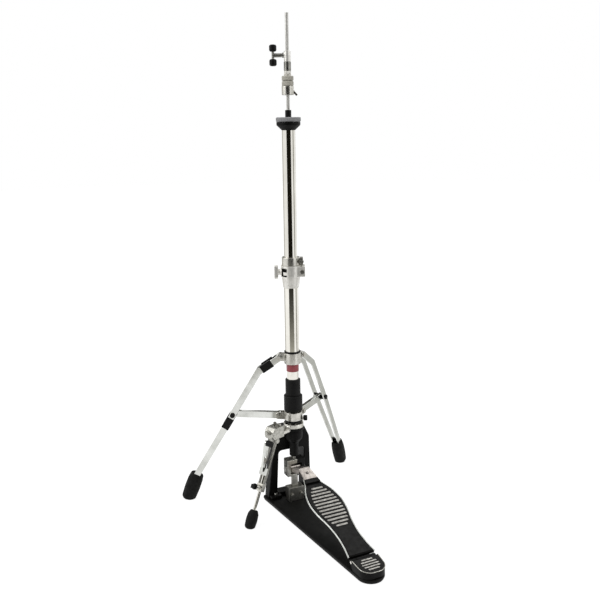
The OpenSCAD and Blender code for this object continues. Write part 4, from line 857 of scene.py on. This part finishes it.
@dataclass
class Tubes:
    """Upright tubes, the red band, the height clamp and the memory lock.

    Attributes:
        screw_recess_painted_shade: The opening beside the height clamp's wing screw, black inside as painted
            shade.
    """

    # The black powder coat inside the wing screw's recess is painted shade.
    screw_recess_painted_shade: Recess = Recess(POWDER_COAT, turn=-160.9, half_w=7.2, low=484.8, high=501.0,
                                  tongue_start=-1.6, tongue_low=488.0, tongue_high=494.0)

    def dress(self) -> None:
        """Finish the tubes and their clamps."""
        dress(CHROME_TUBE, "lower_tube", "upper_tube")
        dress(RED_ENAMEL, "red_band")
        ease(SATIN_CASTING, "clamp_body", radius_mm=0.75, tone=self.screw_recess_painted_shade)
        ease(CHROME_CASTING, "memory_lock", radius_mm=0.6)
        ease(SATIN_CASTING, "clamp_wing_screw", radius_mm=0.6)
        ease(ZINC_STEEL, "lock_screw", radius_mm=0.4)
        dress(ABS, "clamp_bush", "tension_sleeve")


@dataclass
class PullLinkage:
    """Pull rods, their coupler and block, and the return spring inside the column.

    Attributes:
        coil_r: Radius of the spring at the middle of its wire.
        wire_r: Radius of its wire.
        coil_low: Height of its lower end.
        coil_len: Its length at rest.
        turns: Number of turns.
        turn_steps: Steps of the wire in one turn.
        stroke: How far the rod presses it together; not used.
        painted_shade_half: The right half of the pull block above its strap, painted black as painted shade.
    """

    coil_r: float = 7.9
    wire_r: float = 1.05
    coil_low: float = 164.4
    coil_len: float = 97.0
    turns: float = 15.0
    turn_steps: int = 28
    stroke: float = 26.2
    # The pull block's right half above its strap is painted black: painted shade.
    painted_shade_half: Tone = Tone(ABS, point=(2.0, 0.0, 0.0), way=(1.0, 0.0, 0.0), low=62.0)

    def dress(self) -> None:
        """Finish the linkage."""
        dress(GROUND_STEEL, "pull_rods", "pull_pin")
        dress(ZINC_STEEL, "rod_coupler", "spring_flange")
        ease(ZINC_STEEL, "pull_block", radius_mm=0.8, tone=self.painted_shade_half)

    def build(self) -> None:
        """Wind the return spring, which stands for its CAD tube."""
        rise = self.coil_len - 2 * self.wire_r
        tool = NodeTool("wound_spring", {
            "Coil radius": self.coil_r * MM, "Radius": self.wire_r * MM, "Sides": WIRE_SIDES,
            "Rise": rise * MM, "Lift": (self.coil_low + self.wire_r) * MM,
            "Turns": self.turns, "Steps": self.turn_steps,
        })
        spiral = add_node(tool.tree, "GeometryNodeCurveSpiral", {
            "Resolution": tool.given["Steps"], "Rotations": tool.given["Turns"],
            "Start Radius": tool.given["Coil radius"], "End Radius": tool.given["Coil radius"],
            "Height": tool.given["Rise"],
        })
        tool.end(tool.lift(tool.tube(spiral.outputs["Curve"])), SPRING_WIRE)
        coil = tool.bake("return_spring_coil", bpy.data.meshes.new("coil_start"))
        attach(coil, "stand")
        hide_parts("return_spring")
        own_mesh(coil)


@dataclass
class CymbalSeat:
    """Seat cup, its bush and the grey felt on it.

    Attributes:
        felt: The felt.
    """

    felt: Felt = Felt(
        GREY_FELT, hole_r=5.9, outer_r=23.6, lows=(779.0,), height=8.6, edge=2.0, crown=0.5,
        hollow=0.25, hollow_size=3.0, steps=120,
    )

    def dress(self) -> None:
        """Finish the cup and the bush."""
        dress(ABS, "seat_bush")
        ease(POWDER_COAT, "seat_cup", radius_mm=0.8)

    def build(self) -> None:
        """Press the seat felt, which stands for its CAD ring."""
        felt = self.felt.press("seat_felt_ring")
        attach(felt, "upper_section")
        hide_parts("seat_felt")


@dataclass
class Clutch:
    """Clutch on the pull rod: stem, nuts, two felts, wing screw.

    Attributes:
        felts: The two felts.
        nut_r: Radius of the lower lock nut.
        nut_low: Height of its underside.
        nut_h: Height of its knurled part.
        knurl_count: Ridges round it.
        knurl_r: Radius of one ridge.
        ridge_sides: Sides of one ridge.
        upper_nut: Darker finish of the upper lock nut.
        boss_end: Darker finish of the boss that holds the wing screw.
    """

    felts: Felt = Felt(
        FELT, hole_r=4.5, outer_r=11.0, lows=(843.9, 853.2), height=8.9, edge=1.7, crown=0.4,
        hollow=0.2, hollow_size=2.4, steps=96,
    )
    nut_r: float = 6.1
    nut_low: float = 862.8
    nut_h: float = 7.2
    knurl_count: int = 26
    knurl_r: float = 0.4
    ridge_sides: int = 8
    upper_nut: Tone = Tone(OILED_STEEL, point=(0.0, 0.0, 871.0), way=(0.0, 0.0, 1.0))
    boss_end: Tone = Tone(OILED_STEEL, point=(-5.5, 3.2, 0.0), way=(-0.87, 0.5, 0.0))

    def dress(self) -> None:
        """Finish the clutch's metal and its black wing tips."""
        ease(SATIN_CASTING, "clutch_body", radius_mm=0.5, tone=self.boss_end)
        ease(CHROME_CASTING, "clutch_bottom_nut", radius_mm=0.5)
        dress(OILED_STEEL, "clutch_wing_screw")
        ease(SATIN_CASTING, "clutch_nuts", radius_mm=0.3, tone=self.upper_nut)
        dress(ABS, "clutch_wing_tips")

    def build(self) -> None:
        """Press the two felts and cut the lock nut's knurl."""
        self.build_felts()
        self.build_knurl()

    def build_felts(self) -> None:
        """Press the two felts, which stand for their CAD rings."""
        felts = self.felts.press("clutch_felt_rings")
        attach(felts, "clutch")
        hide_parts("clutch_felts")

    def build_knurl(self) -> None:
        """Set straight ridges round the lower lock nut."""
        tool = NodeTool("straight_knurl", {
            "Count": self.knurl_count, "Nut radius": self.nut_r * MM, "Ridge radius": self.knurl_r * MM,
            "Ridge height": self.nut_h * MM, "Lift": (self.nut_low + self.nut_h / 2) * MM,
        })
        spots = add_node(tool.tree, "GeometryNodeMeshCircle", {
            "Vertices": tool.given["Count"], "Radius": tool.given["Nut radius"],
        })
        ridge = add_node(tool.tree, "GeometryNodeMeshCylinder", {
            "Vertices": self.ridge_sides, "Radius": tool.given["Ridge radius"],
            "Depth": tool.given["Ridge height"],
        })
        ridges = add_node(tool.tree, "GeometryNodeInstanceOnPoints", {
            "Points": spots.outputs["Mesh"], "Instance": ridge.outputs["Mesh"],
        })
        tool.end(tool.lift(ridges.outputs["Instances"]), SATIN_CASTING)
        knurl = tool.bake("lock_nut_knurl", bpy.data.meshes.new("knurl_start"))
        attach(knurl, "clutch")


@dataclass
class Tripod:
    """Hub, collar, two double-braced legs, their braces, sleeves and feet.

    Attributes:
        hub_foot_painted_shade: The hub's foot in the gap over the yoke, painted black as painted shade.
    """

    # The hub's foot is painted black: painted shade in the gap over the yoke.
    hub_foot_painted_shade: Tone = Tone(ABS, point=(0.0, 0.0, 186.5), way=(0.0, 0.0, -1.0), reach=18.4)

    def dress(self) -> None:
        """Finish the tripod."""
        ease(CHROME_CASTING, "tripod_hub", radius_mm=0.8, tone=self.hub_foot_painted_shade)
        ease(CHROME_CASTING, "tripod_collar", radius_mm=0.8)
        dress(CHROME_CASTING, "collar_pins", "brace_pins")
        ease(CHROME_BAR, "left_leg_bars", "right_leg_bars", "left_brace", "right_brace", radius_mm=0.6)
        ease(ABS, "left_leg_sleeves", "hub_screw", radius_mm=0.6)
        dress(ABS, "collar_ring", "left_leg_bush", "right_leg_bush")
        dress(RUBBER, "left_foot", "right_foot")


@dataclass
class SpurLeg:
    """Third leg: two bars, a slotted stay with its knob, and a rod with a rubber foot."""

    def dress(self) -> None:
        """Finish the spur leg."""
        ease(OILED_STEEL, "spur_bars", radius_mm=0.5)
        dress(CHROME_BAR, "spur_stay")
        ease(CHROME_CASTING, "spur_boss", radius_mm=0.8)
        dress(CHROME_TUBE, "spur_rod")
        dress(ABS, "spur_screws")
        dress(RUBBER, "spur_foot")


@dataclass
class Pedal:
    """Footboard with its tread, ribs, toe bracket and bright edge.

    Attributes:
        hinge: Place of the hinge, as Y and Z.
        tilt: Slope of the footboard, in degrees.
        top: Height of the footboard's top face over the hinge, square to it.
        side: Distance from the hinge and half width along the footboard's side.
        side_steps: Steps of the smooth side from each of these to the next.
        bead_r: Radius of the bright line along the side.
        bead_out: How far the line stands out from the side.
        bead_drop: How far it lies below the top face.
        bracket_foot: The foot of the toe bracket, coated like the footboard.
    """

    hinge: Point = (-283.0, 20.0)
    tilt: float = 15.3
    top: float = 6.7
    side: tuple[Point, ...] = (
        (6.5, 26.5), (30.0, 22.8), (60.0, 21.6), (92.0, 25.0), (120.0, 31.2),
        (150.0, 33.6), (180.0, 28.0), (204.0, 17.5), (222.0, 13.0),
    )
    side_steps: int = 6
    bead_r: float = 1.5
    bead_out: float = 0.1
    bead_drop: float = 1.1
    bracket_foot: Tone = Tone(POWDER_COAT, point=(0.0, -78.0, 0.0), way=(0.0, -1.0, 0.0), reach=95.0)

    def dress(self) -> None:
        """Finish the footboard."""
        ease(POWDER_COAT, "footboard", radius_mm=0.8)
        ease(TREAD, "footboard_pad", radius_mm=0.6)
        ease(WORN_ALUMINIUM, "footboard_ribs", radius_mm=0.35)
        ease(ALUMINIUM, "toe_bracket", radius_mm=0.8, tone=self.bracket_foot)

    def build(self) -> None:
        """Make the bright lines along both sides of the footboard."""
        curve = smooth(self.side, self.side_steps)
        place = Matrix.Translation((0.0, self.hinge[0], self.hinge[1])) @ Matrix.Rotation(
            math.radians(self.tilt), 4, "X")
        height = self.top - self.bead_drop
        edges = [
            [place @ Vector((hand * (half + self.bead_out), along, height)) * MM for along, half in curve]
            for hand in (-1, 1)
        ]
        bead = bead_along("footboard_edge_trim", edges, self.bead_r * MM, MILLED_ALUMINIUM)
        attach(bead, "pedal")


@dataclass(frozen=True)
class Flag:
    """A grey studio card that only reflections see, bent round the stand.

    Attributes:
        start: Where it starts, in degrees from the camera towards its right.
        end: Where it ends.
        shade: Its colour.
        foot_shade: Its colour at the floor, from where it fades to the other.
        reach: Its distance from the rod's axis, in metres.
        height: Its height.
    """

    start: float
    end: float
    shade: str
    foot_shade: str
    reach: float = 0.95
    height: float = 1.6


@dataclass(frozen=True)
class Lamp:
    """A soft box.

    Attributes:
        name: Its name.
        turn: Its place from the camera towards its right, in degrees.
        rise: Its height in metres.
        size: Its width and height in metres.
        power: Its power in watts.
    """

    name: str
    turn: float
    rise: float
    size: float
    power: float


@dataclass
class Studio:
    """White floor, soft boxes, grey cards for the chrome, and the camera of the photograph.

    Attributes:
        azimuth: Camera's place round the stand, in degrees.
        distance: Its distance from the rod's axis, in metres.
        height: Its height.
        pitch: How far it looks down, in degrees.
        yaw: How far it looks to the right.
        roll: How far it leans.
        lens: Its focal length, in mm.
        sensor: Width of its sensor, in mm.
        sight: The nearest and the farthest that it sees, in metres.
        floor_r: Radius of the floor, in metres.
        floor_sides: Sides of the floor.
        floor_drop: How far it lies below the stand, in metres.
        floor_shade: Grey of the floor, which takes the shadow.
        floor_glow: White that the floor adds to itself, up to a white background.
        fill: Light of the surroundings on matt surfaces.
        flag_fade: Height over which the foot's colour of a card fades out.
        flag_fade_power: How much faster it fades near the floor.
        flag_steps: Steps of a card's bend.
        flags: The cards.
        lamp_reach: Distance of the soft boxes from the rod's axis, in metres.
        lamp_aim: Height that they look at.
        lamps: The soft boxes.
    """

    azimuth: float = -24.896
    distance: float = 1.4874
    height: float = 0.7766
    pitch: float = 12.927
    yaw: float = 0.6354
    roll: float = -0.9945
    lens: float = 46.28
    sensor: float = 36.0
    sight: tuple[float, float] = (0.05, 60.0)
    floor_r: float = 9.0
    floor_sides: int = 96
    floor_drop: float = 0.0005
    floor_shade: str = "#8C8C8C"
    floor_glow: float = 0.87
    fill: float = 0.62
    flag_fade: float = 0.4
    flag_fade_power: float = 3.0
    flag_steps: int = 16
    flags: tuple[Flag, ...] = (
        Flag(start=-38.0, end=36.0, shade="#1A1812", foot_shade="#D0CEC3"),
        Flag(start=72.0, end=92.0, shade="#9A9992", foot_shade="#9A9992"),
        Flag(start=-150.0, end=-118.0, shade="#BDBBB4", foot_shade="#BDBBB4"),
        Flag(start=168.0, end=188.0, shade="#55544E", foot_shade="#9A9992"),
        Flag(start=104.0, end=142.0, shade="#D6D6D2", foot_shade="#D6D6D2", reach=0.3, height=0.25),
    )
    lamp_reach: float = 2.2
    lamp_aim: float = 0.45
    lamps: tuple[Lamp, ...] = (
        Lamp("soft_box_left", turn=-75.0, rise=1.9, size=1.4, power=26.0),
        Lamp("soft_box_right", turn=70.0, rise=1.7, size=1.2, power=12.0),
        Lamp("soft_box_rear", turn=160.0, rise=2.1, size=1.2, power=12.0),
    )

    def towards(self, turn: float) -> Vector:
        """Give the level direction from the stand that lies so many degrees to the camera's right."""
        angle = math.radians(self.azimuth + turn)
        return Vector((math.sin(angle), -math.cos(angle), 0.0))

    def seen(self, tree: NodeTree) -> NodeSocket:
        """Tell rays that show the background from rays that light the stand.

        Args:
            tree: Nodes of the floor or the world.

        Returns:
            1 for camera, glossy and transmission rays, otherwise 0.
        """
        path = add_node(tree, "ShaderNodeLightPath").outputs
        seen = path["Is Camera Ray"]
        for ray in ("Is Glossy Ray", "Is Transmission Ray"):
            either = add_node(tree, "ShaderNodeMath", {0: seen, 1: path[ray]}, operation="MAXIMUM")
            seen = either.outputs["Value"]
        return seen

    def paper(self) -> Material:
        """Make the floor's paper, which takes the shadow and shows as white around it.

        Returns:
            The material.
        """
        material = bpy.data.materials.new("white_paper_floor")
        tree = blank_tree(material)
        matt = add_node(tree, "ShaderNodeBsdfDiffuse", {"Color": linear(self.floor_shade)})
        glow_level = add_node(tree, "ShaderNodeMath", {
            0: self.seen(tree), 1: self.floor_glow,
        }, operation="MULTIPLY")
        glow = add_node(tree, "ShaderNodeEmission", {"Strength": glow_level.outputs["Value"]})
        both = add_node(tree, "ShaderNodeAddShader", {
            0: matt.outputs["BSDF"], 1: glow.outputs["Emission"],
        })
        add_node(tree, "ShaderNodeOutputMaterial", {"Surface": both.outputs["Shader"]})
        return material

    def build_floor(self) -> None:
        """Lay a pale floor that keeps the shadow."""
        shape = bmesh.new()
        bmesh.ops.create_circle(shape, cap_ends=True, radius=self.floor_r, segments=self.floor_sides,
                                matrix=Matrix.Translation(-UP * self.floor_drop))
        put("studio_floor", mesh_from(shape, "studio_floor", self.paper()))

    def card_colour(self, number: int, flag: Flag) -> Material:
        """Make a card's glowing colour, which fades upward from that of its foot.

        Args:
            number: The card's number.
            flag: The card.

        Returns:
            The material.
        """
        material = bpy.data.materials.new(f"studio_card_{number}")
        tree = blank_tree(material)
        place = add_node(tree, "ShaderNodeTexCoord").outputs["Object"]
        height = add_node(tree, "ShaderNodeSeparateXYZ", {"Vector": place})
        fall = add_node(tree, "ShaderNodeMapRange", {
            "Value": height.outputs["Z"], "From Max": self.flag_fade, "To Min": 1.0, "To Max": 0.0,
        })
        foot = add_node(tree, "ShaderNodeMath", {
            0: fall.outputs["Result"], 1: self.flag_fade_power,
        }, operation="POWER")
        colour = add_node(tree, "ShaderNodeMix", {
            MIX_FACTOR: foot.outputs["Value"],
            MIX_FIRST: linear(flag.shade), MIX_SECOND: linear(flag.foot_shade),
        }, data_type="RGBA")
        glow = add_node(tree, "ShaderNodeEmission", {"Color": colour.outputs[MIX_RESULT]})
        add_node(tree, "ShaderNodeOutputMaterial", {"Surface": glow.outputs["Emission"]})
        return material

    def build_flags(self) -> None:
        """Hang the cards that give the chrome its stripes."""
        for number, flag in enumerate(self.flags):
            shape = bmesh.new()
            columns = []
            for step in range(self.flag_steps + 1):
                turn = flag.start + (flag.end - flag.start) * step / self.flag_steps
                way = self.towards(turn) * flag.reach
                columns.append([shape.verts.new((way.x, way.y, z)) for z in (0.0, flag.height)])
            for here, ahead in zip(columns, columns[1:]):
                shape.faces.new((here[0], ahead[0], ahead[1], here[1]))
            name = f"studio_flag_{number}"
            card = put(name, mesh_from(shape, name, self.card_colour(number, flag)))
            for ray in ("camera", "diffuse", "transmission", "shadow"):
                setattr(card, "visible_" + ray, False)

    def build_world(self) -> None:
        """Make the white surroundings and the plain light that they give."""
        world = bpy.data.worlds.new("white_studio")
        bpy.context.scene.world = world
        tree = blank_tree(world)
        level = add_node(tree, "ShaderNodeMapRange", {
            "Value": self.seen(tree), "To Min": self.fill, "To Max": 1.0,
        })
        sky = add_node(tree, "ShaderNodeBackground", {
            "Color": (1.0, 1.0, 1.0, 1.0), "Strength": level.outputs["Result"],
        })
        add_node(tree, "ShaderNodeOutputWorld", {"Surface": sky.outputs["Background"]})

    def hang_lamps(self) -> None:
        """Hang the soft boxes so that they look at the middle of the stand."""
        for lamp in self.lamps:
            light = bpy.data.lights.new(lamp.name, "AREA")
            light.size = lamp.size
            light.energy = lamp.power
            box = put(lamp.name, light)
            box.location = self.towards(lamp.turn) * self.lamp_reach + UP * lamp.rise
            aim = UP * self.lamp_aim - box.location
            box.rotation_euler = aim.to_track_quat("-Z", "Y").to_euler()

    def build_camera(self) -> None:
        """Set the camera of the photograph."""
        back = self.towards(0.0)
        right = self.towards(90.0)
        pitch, yaw, roll = (math.radians(a) for a in (self.pitch, self.yaw, self.roll))
        ahead = -back * math.cos(pitch) - UP * math.sin(pitch)
        up = right.cross(ahead)
        aim = ahead * math.cos(yaw) + right * math.sin(yaw)
        side = right * math.cos(yaw) - ahead * math.sin(yaw)
        across = side * math.cos(roll) + up * math.sin(roll)
        top = up * math.cos(roll) - side * math.sin(roll)
        lens = bpy.data.cameras.new("photo_camera")
        lens.sensor_width = self.sensor
        lens.lens = self.lens
        lens.clip_start, lens.clip_end = self.sight
        camera = put("photo_camera", lens)
        place = Matrix((across, top, -aim)).transposed().to_4x4()
        place.translation = back * self.distance + UP * self.height
        camera.matrix_world = place
        bpy.context.scene.camera = camera

    def build(self) -> None:
        """Set up the whole studio."""
        bpy.context.scene.view_settings.view_transform = "Standard"
        self.build_camera()
        self.build_world()
        self.build_floor()
        self.build_flags()
        self.hang_lamps()


def main() -> None:
    """Build the studio, dress the stand and add its fine pieces."""
    logging.basicConfig(level=logging.INFO, format="%(name)s: %(message)s")
    Studio().build()
    built = (Base(), PullLinkage(), CymbalSeat(), Clutch(), Pedal())
    for part in (*built, Tubes(), Tripod(), SpurLeg()):
        part.dress()
    for part in built:
        part.build()


if __name__ == "__main__":
    main()
